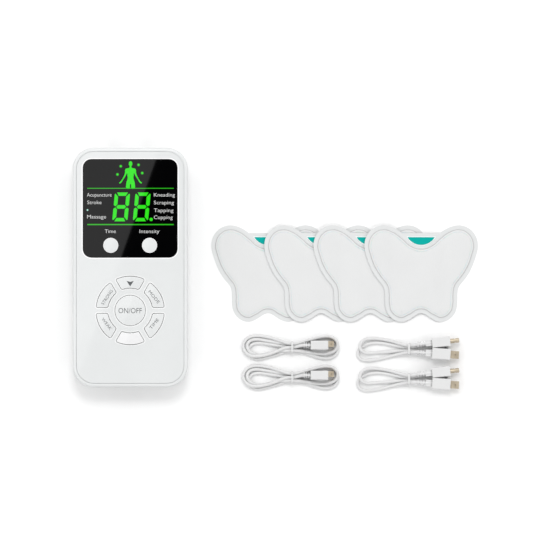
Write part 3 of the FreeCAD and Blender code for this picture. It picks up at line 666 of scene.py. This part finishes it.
ELECTRODE_ROUTE = [
    (6, 2.76, 4.1), (4.6, 2.62, 4.1), (3.2, 2.4, 3.9), (1.6, 2, 3.4), (0, 1.9, 3.15), (-2, 2.1, 2.9),
    (-5, 2.9, 2), (-8, 3.8, 1.3), (-11, 4.6, 1), (-14, 5.2, 0.9), (-17, 5.6, 0.95), (-20, 5.8, 1.3),
    (-22.8, 5.6, 2), (-25.2, 4.7, 2.6), (-26.8, 2.7, 2.75), (-26.8, 0.3, 2.7), (-25.2, -1.6, 2.3),
    (-22.7, -2.4, 1.6), (-19.9, -2.2, 1.1), (-17.2, -2, 0.9), (-14, -1.8, 0.9), (-11, -1.5, 0.9),
    (-8, -1.2, 0.9), (-5, -1, 0.95), (-2.4, -0.95, 1.2), (0, -0.95, 1.35), (2.4, -1, 1.15),
    (5, -1.3, 0.95), (8, -2, 0.9), (11, -2.8, 0.9), (14, -3.5, 0.9), (17, -4.2, 0.9), (19.6, -3.4, 0.9),
    (21.2, -1.3, 0.9), (21.2, 1.3, 0.9), (19.6, 3.4, 0.9), (17, 4.2, 0.9), (14, 3.5, 0.9),
    (11, 2.8, 0.9), (8, 2, 0.9), (5, 1.3, 0.95), (2.4, 1, 1.15), (0, 0.95, 1.35), (-2.6, 1, 1.2),
    (-5.4, 1.4, 0.95), (-8.2, 1.9, 0.9), (-11, 2.5, 0.9), (-14, 3, 0.9), (-17, 3.3, 0.9),
    (-20, 3.2, 0.9), (-22.8, 2.6, 0.9), (-25.3, 1.4, 0.9), (-27.2, -0.1, 0.9), (-28.1, -2.4, 0.9),
    (-27.4, -4.8, 0.9), (-25.3, -6.1, 0.9), (-22.4, -6.4, 0.9), (-19, -6, 0.9), (-16, -5.5, 0.9),
    (-13, -4.8, 0.9), (-10, -4, 1), (-7, -3.2, 1.4), (-4, -2.5, 2.3), (-1.6, -2, 3), (0.6, -1.85, 3.3),
    (2.6, -1.75, 3.85), (4.6, -1.77, 4.1), (6, -1.87, 4.1)]


def tie_middle(lead):
    """Where a lead's tie stands on the table."""
    low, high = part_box(lead + "_tie")
    return Vector(((low.x + high.x) / 2, (low.y + high.y) / 2, 0))


class KIT_OT_cords(bpy.types.Operator):
    """Wind the cords of the four leads into their hanks"""
    bl_idname = "kit.cords"
    bl_label = "Cords"

    def execute(self, context):
        settings = context.scene.kit_leads
        sleeve = cord_sleeve("cord_white", tuple(settings.cord_colour))
        for row in ROWS:
            self.wind("charge_lead_%d" % row, CHARGE_ROUTE, settings, sleeve, ("plugs", "shells"))
            self.wind("electrode_lead_%d" % row, ELECTRODE_ROUTE, settings, sleeve,
                      ("flat_plug", "flat_shell", "pin_plug", "pin"))
        return {"FINISHED"}

    def wind(self, lead, route, settings, sleeve, ends):
        origin = tie_middle(lead)
        curve = bpy.data.curves.new(lead + "_cord", "CURVE")
        curve.dimensions = "3D"
        curve.bevel_depth = settings.cord_diameter / 2
        curve.bevel_resolution = 4
        curve.use_fill_caps = True
        curve.resolution_u = 6
        spline = curve.splines.new("NURBS")
        spline.points.add(len(route) - 1)
        for point, place in zip(spline.points, route):
            point.co = (*(origin + Vector(place) * MM), 1)
        spline.order_u = 3
        spline.use_endpoint_u = True
        curve.materials.append(sleeve)
        cord = bpy.data.objects.new(lead + "_cord", curve)
        bpy.context.scene.collection.objects.link(cord)
        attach(cord, lead)
        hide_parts(lead + "_cable")


class KIT_OT_ties(bpy.types.Operator):
    """Close a band round the middle of each hank"""
    bl_idname = "kit.ties"
    bl_label = "Ties"

    def execute(self, context):
        band = moulded_plastic("tie_white", (0.66, 0.66, 0.66), 0.5, 0.4 * MM, 0.02 * MM)
        for row in ROWS:
            for kind in ("charge_lead_%d", "electrode_lead_%d"):
                self.close(kind % row, band)
        return {"FINISHED"}

    def close(self, lead, band):
        low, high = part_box(lead + "_tie")
        clear_bench()
        bpy.ops.mesh.primitive_cube_add(size=1.0, location=(low + high) / 2, scale=high - low)
        ring = bpy.context.view_layer.objects.active
        bpy.ops.object.transform_apply(location=False, rotation=False, scale=True)
        pick_where(ring, lambda middle: abs(middle.x) < 0.1 * MM, "EDGE")
        bpy.ops.mesh.bevel(offset=1.45 * MM, segments=7)
        pick_where(ring, lambda middle: abs(middle.x) > 0.55 * MM, "FACE")
        bpy.ops.mesh.delete(type="FACE")
        out_of_edit()
        add_modifier(ring, "SOLIDIFY", thickness=0.42 * MM, offset=-1.0)
        add_modifier(ring, "BEVEL", width=0.12 * MM, segments=2, limit_method="ANGLE",
                     angle_limit=math.radians(50))
        pick(ring)
        bpy.ops.object.shade_smooth_by_angle(angle=math.radians(40))
        settle(ring, lead + "_band", lead, band)
        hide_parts(lead + "_tie")


class KIT_OT_plugs(bpy.types.Operator):
    """Finish the plugs and their contacts"""
    bl_idname = "kit.plugs"
    bl_label = "Plugs"

    def execute(self, context):
        settings = context.scene.kit_leads
        body = moulded_plastic("plug_white", tuple(settings.cord_colour), 0.42, 0.25 * MM, 0.03 * MM)
        shade_recesses(body, 1.2 * MM)
        gold = plated_metal("contact_gold", tuple(settings.contact_colour), 0.5, 0.15 * MM)
        for row in ROWS:
            charge, electrode = "charge_lead_%d_" % row, "electrode_lead_%d_" % row
            dress(body, charge + "plugs", electrode + "flat_plug", electrode + "pin_plug")
            dress(gold, charge + "shells", electrode + "flat_shell", electrode + "pin")
        return {"FINISHED"}


# ---- handset ----
class KIT_OT_casing(bpy.types.Operator):
    """Finish the casing, face plate and window"""
    bl_idname = "kit.casing"
    bl_label = "Casing"

    def execute(self, context):
        settings = context.scene.kit_handset
        white = tuple(settings.casing_colour)
        gloss = moulded_plastic("casing_gloss", white, 0.34, 0.7 * MM, 0.012 * MM, coat=1.0)
        grained = moulded_plastic("casing_grained", tuple(c * 0.97 for c in white), 0.5, 0.3 * MM, 0.05 * MM)
        shell = moulded_plastic("shell_gloss", white, 0.45, 0.7 * MM, 0.012 * MM, coat=0.2)
        shade_edge(shell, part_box("front_shell")[1].z, 0.07)
        dress(grained, "rear_shell")
        dress(shell, "front_shell")
        dress(gloss, "face_plate")
        dress(window_glass(tuple(settings.window_colour)), "display_window")
        return {"FINISHED"}


class KIT_OT_keys(bpy.types.Operator):
    """Finish the keys and print their labels"""
    bl_idname = "kit.keys"
    bl_label = "Keys"

    def execute(self, context):
        settings = context.scene.kit_handset
        white = tuple(settings.casing_colour)
        cap = moulded_plastic("key_white", white, 0.36, 0.7 * MM, 0.012 * MM, coat=1.0)
        # The blank key's brighter white is a painted highlight on the same key plastic.
        bright = moulded_plastic("key_painted_highlight", (0.81, 0.81, 0.815), 0.3, 0.7 * MM, 0.01 * MM, coat=1.0)
        dress(cap, *(key + "_button" for key in KEYS if key != "blank"))
        dress(bright, "blank_button")
        ink = printed_ink_and_painted_shade("label_grey", tuple(settings.label_colour))
        small = settings.label_height
        labels = [("power", "ON/OFF", 3.0 * MM, 12.7, (0, 0), 0),
                  ("strong", "STRONG", small, 9.2, (-12.6, 7.2), 56),
                  ("weak", "WEAK", small, 7.6, (-12.7, -7.3), -52),
                  ("mode", "MODE", small, 8.3, (13.0, 7.4), -50),
                  ("time", "TIME", small, 6.8, (13.0, -7.2), 50)]
        for key, text, capital, width, place, turn in labels:
            self.label(key, text, capital, width * MM, place, turn, ink, settings)
        self.arrow(ink, settings)
        self.draw_edges(settings)
        return {"FINISHED"}

    def middle(self, key):
        low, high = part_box(key + "_button")
        return (low.x + high.x) / 2, (low.y + high.y) / 2, high.z

    def press_on(self, piece, key, settings):
        """Lays print on the crown of a key."""
        x, y, top = self.middle(key)
        if key in RING:
            ring_x, ring_y, _ = self.middle("power")
            turn = math.radians(90 - 60 * RING.index(key))
            x, y = ring_x + RING_MIDDLE * math.cos(turn), ring_y + RING_MIDDLE * math.sin(turn)
        for vertex in piece.data.vertices:
            off = (vertex.co.x - x) ** 2 + (vertex.co.y - y) ** 2
            vertex.co.z += top - KEY_CROWN + math.sqrt(KEY_CROWN ** 2 - off) + settings.ink * 0.2

    def label(self, key, text, capital, width, place, turn, ink, settings):
        piece = word(text, capital, settings.ink, width)
        piece.data.transform(Matrix.Translation((0, -capital / 2, 0)))
        pick(piece)
        x, y, _ = self.middle("power")
        fix_place(piece, x + place[0] * MM, y + place[1] * MM, turn)
        self.press_on(piece, key, settings)
        settle(piece, key + "_label", key + "_key", ink)

    def arrow(self, ink, settings):
        x, y, _ = self.middle("power")
        corners = [(-1.95, 16.05), (0.0, 13.1), (1.95, 16.05), (0.0, 15.55)]
        piece = flat_shape([[(a * MM, b * MM) for a, b in corners]], settings.ink)
        fix_place(piece, x, y)
        self.press_on(piece, "arrow", settings)
        settle(piece, "arrow_label", "arrow_key", ink)

    def draw_edges(self, settings):
        """A grey line of painted shade along each key's gap, and white strips of painted highlight beside
        the gap and round the window, where bevels catch the light.
        """
        # A grey strip along each key's edge: painted shade where the gap round the key lies.
        grey = printed_ink_and_painted_shade("key_gap_painted_shade", tuple(settings.edge_colour))
        # Brighter white plastic for the painted highlights along the keys' bevels.
        white = moulded_plastic("key_rim_painted_highlight", (0.88, 0.88, 0.88), 0.3, 0.7 * MM, 0.01 * MM, coat=1.0)
        plate_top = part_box("face_plate")[1].z
        ring_x, ring_y, _ = self.middle("power")
        for key in KEYS:
            x, y, _ = self.middle(key)
            if key in RING:
                x, y = ring_x, ring_y
            # The grey line is painted shade along the key's gap; the white strips, just inside the key's
            # edge and on the plate round its seat ("bevel"), are painted highlights.
            strips = [("line", -0.03, 0.24, grey), ("inner_highlight", -0.26, 0.26, white),
                      ("bevel", 0.66, 0.34, white)]
            # The round keys in the window get only a white ring of painted highlight round their edge.
            if key in ("timer", "intensity"):
                strips = [("inner_highlight", -0.02, 0.34, white)]
            for part, grow, width, material in strips:
                points, corners = self.outline(key, grow * MM)
                strip = edge_strip(points, corners, (KEY_CORNER + grow) * MM, width * MM, settings.ink)
                fix_place(strip, x, y)
                if part == "bevel":
                    strip.location.z = plate_top
                    settle(strip, key + "_seat_bevel", "handset", material)
                else:
                    self.press_on(strip, key, settings)
                    settle(strip, "%s_%s" % (key, part), key + "_key", material)
        # A white strip on the plate round the window: a painted highlight where the window's bevelled edge
        # catches the light.
        low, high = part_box("display_window")
        x, y = (low.x + high.x) / 2, (low.y + high.y) / 2
        rim, corner_r, width = 0.65 * MM, 5.25 * MM, 0.53 * MM
        wide, tall = (high.x - low.x) / 2 + rim, (high.y - low.y) / 2 + rim
        corners = [(-wide, -tall), (wide, -tall), (wide, tall), (-wide, tall)]
        strip = edge_strip(corners, corners, corner_r, width, settings.ink)
        strip.location = (x, y, plate_top)
        shine = moulded_plastic("window_rim_painted_highlight", (0.97, 0.97, 0.97), 0.3, 0.7 * MM, 0.01 * MM, coat=1.0)
        settle(strip, "window_rim_highlight_strip", "handset", shine)

    def outline(self, key, grow):
        """A key's outline, grown all round, with the corners that are to be rounded."""
        if key not in RING:
            radius = (POWER_R if key == "power" else ROUND_R) + grow
            return round_outline(radius, 64), []
        middle = math.radians(90 - 60 * RING.index(key))
        points, corners = [], []
        side = RING_SPACING / 2 - grow
        for radius, way, count in ((RING_OUT + grow, 1, 9), (RING_IN - grow, -1, 7)):
            reach = math.radians(30) - math.asin(side / radius)
            arc = [(radius * math.cos(middle + way * t), radius * math.sin(middle + way * t))
                   for t in np.linspace(-reach, reach, count)]
            points += arc
            corners += [arc[0], arc[-1]]
        return points, corners


def glass_middle():
    """The middle of the window, a hair above its face."""
    low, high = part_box("display_window")
    return Vector(((low.x + high.x) / 2, (low.y + high.y) / 2, high.z + 0.004 * MM))


class KIT_OT_display(bpy.types.Operator):
    """Light the digits, rules, figure and dots of the display"""
    bl_idname = "kit.display"
    bl_label = "Display"

    def execute(self, context):
        settings = context.scene.kit_display
        ink = context.scene.kit_handset.ink
        green = tuple(settings.lit_colour)
        lit = lit_print("lit_green", green)
        rule = lit_print("rule_green", tuple(settings.rule_colour))
        self.middle = glass_middle()
        for n in (0, 1):
            self.digit(n, settings, ink, lit)
        self.bar("upper_rule", 0.15, 10.9, 47.1, 0.45, ink, rule)
        self.bar("lower_rule", 0.15, -8.8, 47.1, 0.66, ink, rule)
        self.figure(ink, lit)
        self.settle_on(flat_shape([round_outline(0.92 * MM, 24)], ink), "decimal_point", 11.4, -6.0, lit)
        dots = [(-5.1, 22.9), (-6.9, 18.45), (4.55, 23.65), (6.55, 19.2)]
        glow = lit_dot("glow_green", green, 1.1)
        for n, (x, y) in enumerate(dots):
            self.dot("glow_dot_%d" % (n + 1), x, y, 1.15, ink, glow)
        self.dot("status_dot", -23.2, -0.9, 0.75, ink, lit_dot("status_cyan", (0.55, 1.0, 0.85), 1.2))
        return {"FINISHED"}

    def settle_on(self, piece, name, x, y, material):
        piece.location = self.middle + Vector((x * MM, y * MM, 0))
        return settle(piece, name, "handset", material)

    def digit(self, n, settings, ink, lit):
        """Seven segments with mitred ends, leaning over."""
        wide, tall = settings.digit_width, settings.digit_height
        stroke, gap = settings.digit_stroke, settings.digit_gap
        half, lean = stroke / 2, math.tan(settings.slant)
        waist = tall / 2
        bar = stroke * 0.93
        top = [(stroke * 0.45 + gap * 0.6, tall), (wide - stroke * 0.45 - gap * 0.6, tall),
               (wide - stroke - gap * 0.4, tall - bar), (stroke + gap * 0.4, tall - bar)]
        bottom = [(x, tall - y) for x, y in top]
        middle = [(half + gap, waist), (stroke + gap * 0.6, waist + half),
                  (wide - stroke - gap * 0.6, waist + half), (wide - half - gap, waist),
                  (wide - stroke - gap * 0.6, waist - half), (stroke + gap * 0.6, waist - half)]
        left = [(0, tall - stroke * 0.55), (stroke * 0.22, tall - stroke * 0.32),
                (stroke, tall - bar - gap), (stroke, waist + half + gap * 0.7), (half, waist + gap * 0.6),
                (0, waist + half * 0.8 + gap * 0.4)]
        right = [(wide - x, y) for x, y in left]
        lower_left = [(x, tall - y) for x, y in left]
        lower_right = [(x, tall - y) for x, y in right]
        shapes = [top, bottom, middle, left, right, lower_left, lower_right]
        leaning = [[(x + (y - tall / 2) * lean, y) for x, y in shape] for shape in shapes]
        piece = flat_shape(leaning, ink)
        start = (-4.35 - 0.5 * wide / MM) + n * settings.digit_pitch / MM
        self.settle_on(piece, "digit_%d" % (n + 1), start - 0.55, 0.8 - 0.5 * tall / MM, lit)

    def bar(self, name, x, y, length, thickness, ink, material):
        """A thin bar with round ends."""
        end = thickness / 2
        corners = []
        for side in (1, -1):
            for step in range(7):
                turn = math.pi / 2 * (1 - side) - math.pi / 2 + math.pi * step / 6
                across = side * (length / 2 - end) + end * math.cos(turn)
                corners.append((across * MM, end * math.sin(turn) * MM))
        piece = flat_shape([corners], ink)
        self.settle_on(piece, name, x, y, material)

    def figure(self, ink, lit):
        """A plain standing figure, arms a little out, that rises from the upper rule."""
        half = [(0.0, 11.6), (0.5, 11.45), (0.75, 11.1), (1.6, 10.85), (2.5, 10.6), (2.95, 9.9),
                (3.0, 8.7), (3.35, 7.3), (4.0, 5.9), (4.8, 4.5), (5.6, 3.5), (6.15, 3.0), (6.0, 2.6),
                (5.4, 2.75), (4.9, 3.2), (4.1, 4.5), (3.1, 6.0), (2.35, 7.3), (1.95, 8.0), (1.75, 7.0),
                (1.55, 5.8), (1.75, 4.7), (2.1, 3.6), (2.4, 1.9), (2.2, 0.0), (0.5, 0.0), (0.35, 1.3),
                (0.0, 2.3)]
        mirrored = [(-x, y) for x, y in reversed(half[1:-1])]
        outline = [(x * MM, y * MM) for x, y in half + mirrored]
        head = [(x, 13.3 * MM + 1.4 * y) for x, y in round_outline(1.0 * MM, 20)]
        neck = [(x * MM, y * MM) for x, y in ((-0.45, 11.2), (0.45, 11.2), (0.45, 12.3), (-0.45, 12.3))]
        parts = [("body", outline, ink, True), ("head", head, ink * 0.9, False),
                 ("neck", neck, ink * 0.8, False)]
        for part, shape, thickness, smooth in parts:
            self.settle_on(flat_shape([shape], thickness, smooth), "figure_" + part, 0.2, 10.95, lit)

    def dot(self, name, x, y, radius, ink, material):
        clear_bench()
        bpy.ops.mesh.primitive_circle_add(vertices=32, radius=radius * MM, fill_type="NGON", calc_uvs=True)
        disc = bpy.context.view_layer.objects.active
        bpy.ops.object.mode_set(mode="EDIT")
        raise_solid(ink * 0.5)
        chart = disc.data.uv_layers[0].data
        for loop in disc.data.loops:
            co = disc.data.vertices[loop.vertex_index].co
            chart[loop.index].uv = (0.5 + co.x / (2 * radius * MM), 0.5 + co.y / (2 * radius * MM))
        self.settle_on(disc, name, x, y, material)


class KIT_OT_words(bpy.types.Operator):
    """Print the words of the display"""
    bl_idname = "kit.words"
    bl_label = "Words"

    def execute(self, context):
        settings = context.scene.kit_display
        ink = context.scene.kit_handset.ink
        grey = lit_print("word_grey", tuple(settings.word_colour))
        middle = glass_middle()
        capital = settings.word_height
        lines = [("Acupuncture", -23.5, 6.4, 13.4), ("Stroke", -23.3, 2.3, 7.7),
                 ("Massage", -23.4, -5.5, 10.3), ("Kneading", 12.9, 6.4, 11.4),
                 ("Scraping", 12.9, 2.2, 10.9), ("Tapping", 12.9, -2.0, 10.6),
                 ("Cupping", 12.9, -5.8, 10.2), ("Time", -13.8, -13.4, 6.0), ("Intensity", 5.1, -13.4, 10.8)]
        for text, x, y, width in lines:
            piece = word(text, capital, ink, width * MM)
            piece.location = middle + Vector(((x + width / 2) * MM, y * MM, 0))
            settle(piece, "word_" + text.lower(), "handset", grey)
        return {"FINISHED"}


class KIT_OT_inside(bpy.types.Operator):
    """Finish what is inside the casing, with its sockets and screws"""
    bl_idname = "kit.inside"
    bl_label = "Inside"

    def execute(self, context):
        black = moulded_plastic("part_black", (0.02, 0.02, 0.022), 0.5, 0.3 * MM, 0.03 * MM)
        steel = plated_metal("screw_steel", (0.55, 0.55, 0.57), 0.35, 0.2 * MM)
        foil = plated_metal("battery_foil", (0.6, 0.61, 0.64), 0.45, 1.0 * MM)
        red = cord_sleeve("wire_red", (0.45, 0.02, 0.02))
        dress(black, "tact_switches", "output_jacks", "control_chip", "buzzer", "display_module")
        dress(steel, "charge_port", "housing_screws")
        dress(foil, "battery_cell")
        dress(red, "battery_leads")
        dress(wound_wire(), "output_coils")
        dress(solder_mask(), "main_board")
        return {"FINISHED"}


# ---- pads ----
# The right half of a pad's edge in millimetres, from the notch at the top to the notch at the foot.
WING = [(0.0, 15.5), (4.6, 16.9), (8.9, 20.6), (14.2, 24.4), (20.6, 26.1), (27.0, 23.7), (30.8, 16.6),
        (29.5, 8.4), (26.4, 0.9), (22.9, -4.2), (20.4, -7.6), (19.7, -11.6), (19.6, -16.6), (17.9, -22.3),
        (11.2, -26.4), (5.2, -24.3), (0.0, -21.7)]
# The cover's section from its edge inwards: how far in, and how much it rises.
COVER_SECTION = [(0.08, 0.05), (0.30, 0.01), (0.10, 0.04), (0.45, 0.12), (0.7, 0.12), (0.9, 0.10),
                 (1.1, 0.05)]
# How high above what a pad rests on its cover and the painted highlight round its tab begin.
COVER_BASE, BORDER_BASE = 0.36 * MM, 0.2 * MM
BORDER_THICKNESS = 0.03 * MM
# How far a pad runs on past the edge of one below it before it is down.
RAMP = 12 * MM


def layer_step():
    """How much higher each pad lies than the one below it."""
    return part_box("pad_2_liner")[1].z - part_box("pad_1_liner")[1].z


def pad_middle(k):
    low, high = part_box("pad_%d_liner" % k)
    return Vector(((low.x + high.x) / 2, high.y - PAD_DROP, 0))


def rest_height(k, x):
    """Height of the surface that pad k rests on: it steps down off the edge of each pad below it."""
    t = np.linspace(0, 1, 60)
    across = 1.5 * t * (1 - t) + t ** 3
    down = 1 - (3 * t ** 2 - 2 * t ** 3)
    height = np.zeros_like(x)
    for j in range(1, k):
        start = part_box("pad_%d_liner" % j)[1].x + 0.5 * MM
        height += layer_step() * np.interp((x - start) / RAMP, across, down, left=1.0, right=0.0)
    return height


def lay_on_stack(piece, k):
    """Moves a flat piece down onto what pad k rests on."""
    places = np.empty(len(piece.data.vertices) * 3)
    piece.data.vertices.foreach_get("co", places)
    places = places.reshape(-1, 3)
    places[:, 2] += rest_height(k, places[:, 0])
    piece.data.vertices.foreach_set("co", places.ravel())
    piece.data.update()


def slice_across(piece, low, high, count, along=(1, 0, 0)):
    """Cuts a flat piece into strips, so that it can bend."""
    pick(piece)
    bpy.ops.object.mode_set(mode="EDIT")
    for step in np.linspace(low, high, count):
        bpy.ops.mesh.select_all(action="SELECT")
        bpy.ops.mesh.bisect(plane_co=Vector(along) * float(step), plane_no=along)
    out_of_edit()


class KIT_OT_pads(bpy.types.Operator):
    """Shape the electrode pads and lay them in a fan"""
    bl_idname = "kit.pads"
    bl_label = "Electrode pads"

    def execute(self, context):
        settings = context.scene.kit_pads
        fabric = nonwoven("pad_fabric", tuple(settings.fabric_colour))
        film = soft_film("pad_film", tuple(settings.film_colour))
        teal = soft_film("tab_teal", tuple(settings.tab_colour), 0.5)
        feed(teal.node_tree.nodes["Principled BSDF"], {"Specular IOR Level": 0.06})
        # A brighter white film for the painted highlight round each tab.
        white = soft_film("tab_painted_highlight_film", (0.9, 0.9, 0.9), 0.5)
        gel = hydrogel()
        cover = self.shape_cover(settings)
        border = self.shape_tab_highlight(settings)
        for k in PADS:
            name = "pad_%d" % k
            dress(film, name + "_liner")
            dress(gel, name + "_gel")
            dress(teal, name + "_tab")
            self.lay(cover, k, name + "_fabric", fabric, "pad_fabric")
            self.lay(border, k, name + "_tab_painted_highlight", white, "release_film")
            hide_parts(name + "_cover")
        for master in (cover, border):
            bpy.data.objects.remove(master)
        return {"FINISHED"}

    def outline(self):
        """The edge of a pad's film, as a closed ring of vertices."""
        right = [(x * MM, y * MM) for x, y in WING]
        left = [(-x, y) for x, y in reversed(right[1:-1])]
        closed_curve([right + left], True, "NONE", 7)
        bpy.ops.object.convert(target="MESH")
        return bpy.context.view_layer.objects.active

    def shape_cover(self, settings):
        """Fabric over the gel: an even margin in from the film's edge, low at its rim and crowned inside."""
        cover = self.outline()
        into_edit()
        bpy.ops.mesh.edge_face_add()
        bpy.ops.mesh.normals_make_consistent(inside=False)
        bpy.ops.mesh.inset(thickness=settings.cover_inset, depth=0.0)
        bpy.ops.mesh.select_all(action="INVERT")
        bpy.ops.mesh.delete(type="FACE")
        bpy.ops.mesh.select_all(action="SELECT")
        bpy.ops.mesh.delete_loose(use_verts=True, use_edges=True, use_faces=False)
        out_of_edit()
        if cover.data.polygons[0].normal.z < 0:
            cover.data.flip_normals()
        bpy.ops.object.mode_set(mode="EDIT")
        bpy.ops.mesh.select_mode(type="FACE")
        bpy.ops.mesh.select_all(action="SELECT")
        for inwards, rise in COVER_SECTION:
            bpy.ops.mesh.inset(thickness=inwards * MM, depth=rise * MM)
        out_of_edit()
        # Marks the cover's low rim, where its seam lies, for the fabric's painted shade.
        seam_painted_shade = cover.data.attributes.new("seam_painted_shade", "FLOAT", "POINT")
        for vertex, value in zip(cover.data.vertices, seam_painted_shade.data):
            value.value = 1.0 if vertex.co.z < 0.08 * MM else 0.0
        slice_across(cover, -28 * MM, 28 * MM, 57)
        slice_across(cover, -22 * MM, 22 * MM, 23, (0, 1, 0))
        cover.data.transform(Matrix.Translation((0, 0, COVER_BASE)))
        add_modifier(cover, "SOLIDIFY", thickness=settings.cloth_thickness, offset=-1.0)
        bpy.ops.object.shade_smooth_by_angle(angle=math.radians(60))
        return cover

    def shape_tab_highlight(self, settings):
        """A white strip round the half-moon tab: a painted highlight along the tab's edge."""
        low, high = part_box("pad_1_tab")
        half, drop = (high.x - low.x) / 2, high.y - low.y
        radius = (half ** 2 + drop ** 2) / (2 * drop)
        top = high.y - pad_middle(1).y
        centre = top - drop + radius
        edge = settings.tab_painted_highlight
        reach = math.asin((half + edge) / (radius + edge)) if half + edge < radius + edge else math.pi / 2
        points = []
        for turn in np.linspace(-reach, reach, 25):
            points.append(((radius + edge) * math.sin(turn), centre - (radius + edge) * math.cos(turn)))
        points.append((half + edge, top + edge))
        points.append((-half - edge, top + edge))
        border = flat_shape([points], BORDER_THICKNESS)
        border.data.transform(Matrix.Translation((0, 0, BORDER_BASE)))
        slice_across(border, -half, half, 15)
        return border

    def lay(self, master, k, name, material, slot):
        pick(master)
        bpy.ops.object.duplicate()
        piece = bpy.context.view_layer.objects.active
        piece.location = pad_middle(k)
        settle(piece, name, "pad_%d" % k, material)
        lay_on_stack(piece, k)


# ---- panel and run ----
STEPS = (KIT_OT_stage, KIT_OT_cords, KIT_OT_ties, KIT_OT_plugs, KIT_OT_casing, KIT_OT_keys, KIT_OT_display,
         KIT_OT_words, KIT_OT_inside, KIT_OT_pads)
SETTINGS = {"kit_stage": StageSettings, "kit_handset": HandsetSettings, "kit_display": DisplaySettings,
            "kit_pads": PadSettings, "kit_leads": LeadSettings}


class KIT_PT_panel(bpy.types.Panel):
    bl_idname = "KIT_PT_panel"
    bl_label = "Nerve Stimulator Kit"
    bl_space_type = "VIEW_3D"
    bl_region_type = "UI"
    bl_category = "Stimulator"

    def draw(self, context):
        for name, group in SETTINGS.items():
            box = self.layout.box()
            for field in group.__annotations__:
                box.prop(getattr(context.scene, name), field)
        for step in STEPS:
            self.layout.operator(step.bl_idname)


def register():
    for name, group in SETTINGS.items():
        bpy.utils.register_class(group)
        setattr(bpy.types.Scene, name, bpy.props.PointerProperty(type=group))
    for step in STEPS:
        bpy.utils.register_class(step)
    bpy.utils.register_class(KIT_PT_panel)


def unregister():
    bpy.utils.unregister_class(KIT_PT_panel)
    for step in reversed(STEPS):
        bpy.utils.unregister_class(step)
    for name, group in SETTINGS.items():
        delattr(bpy.types.Scene, name)
        bpy.utils.unregister_class(group)


def main():
    register()
    bpy.context.scene.view_settings.view_transform = "Standard"
    bpy.ops.kit.stage()
    bpy.ops.kit.cords()
    bpy.ops.kit.ties()
    bpy.ops.kit.plugs()
    bpy.ops.kit.casing()
    bpy.ops.kit.keys()
    bpy.ops.kit.display()
    bpy.ops.kit.words()
    bpy.ops.kit.inside()
    bpy.ops.kit.pads()


if __name__ == "__main__":
    main()
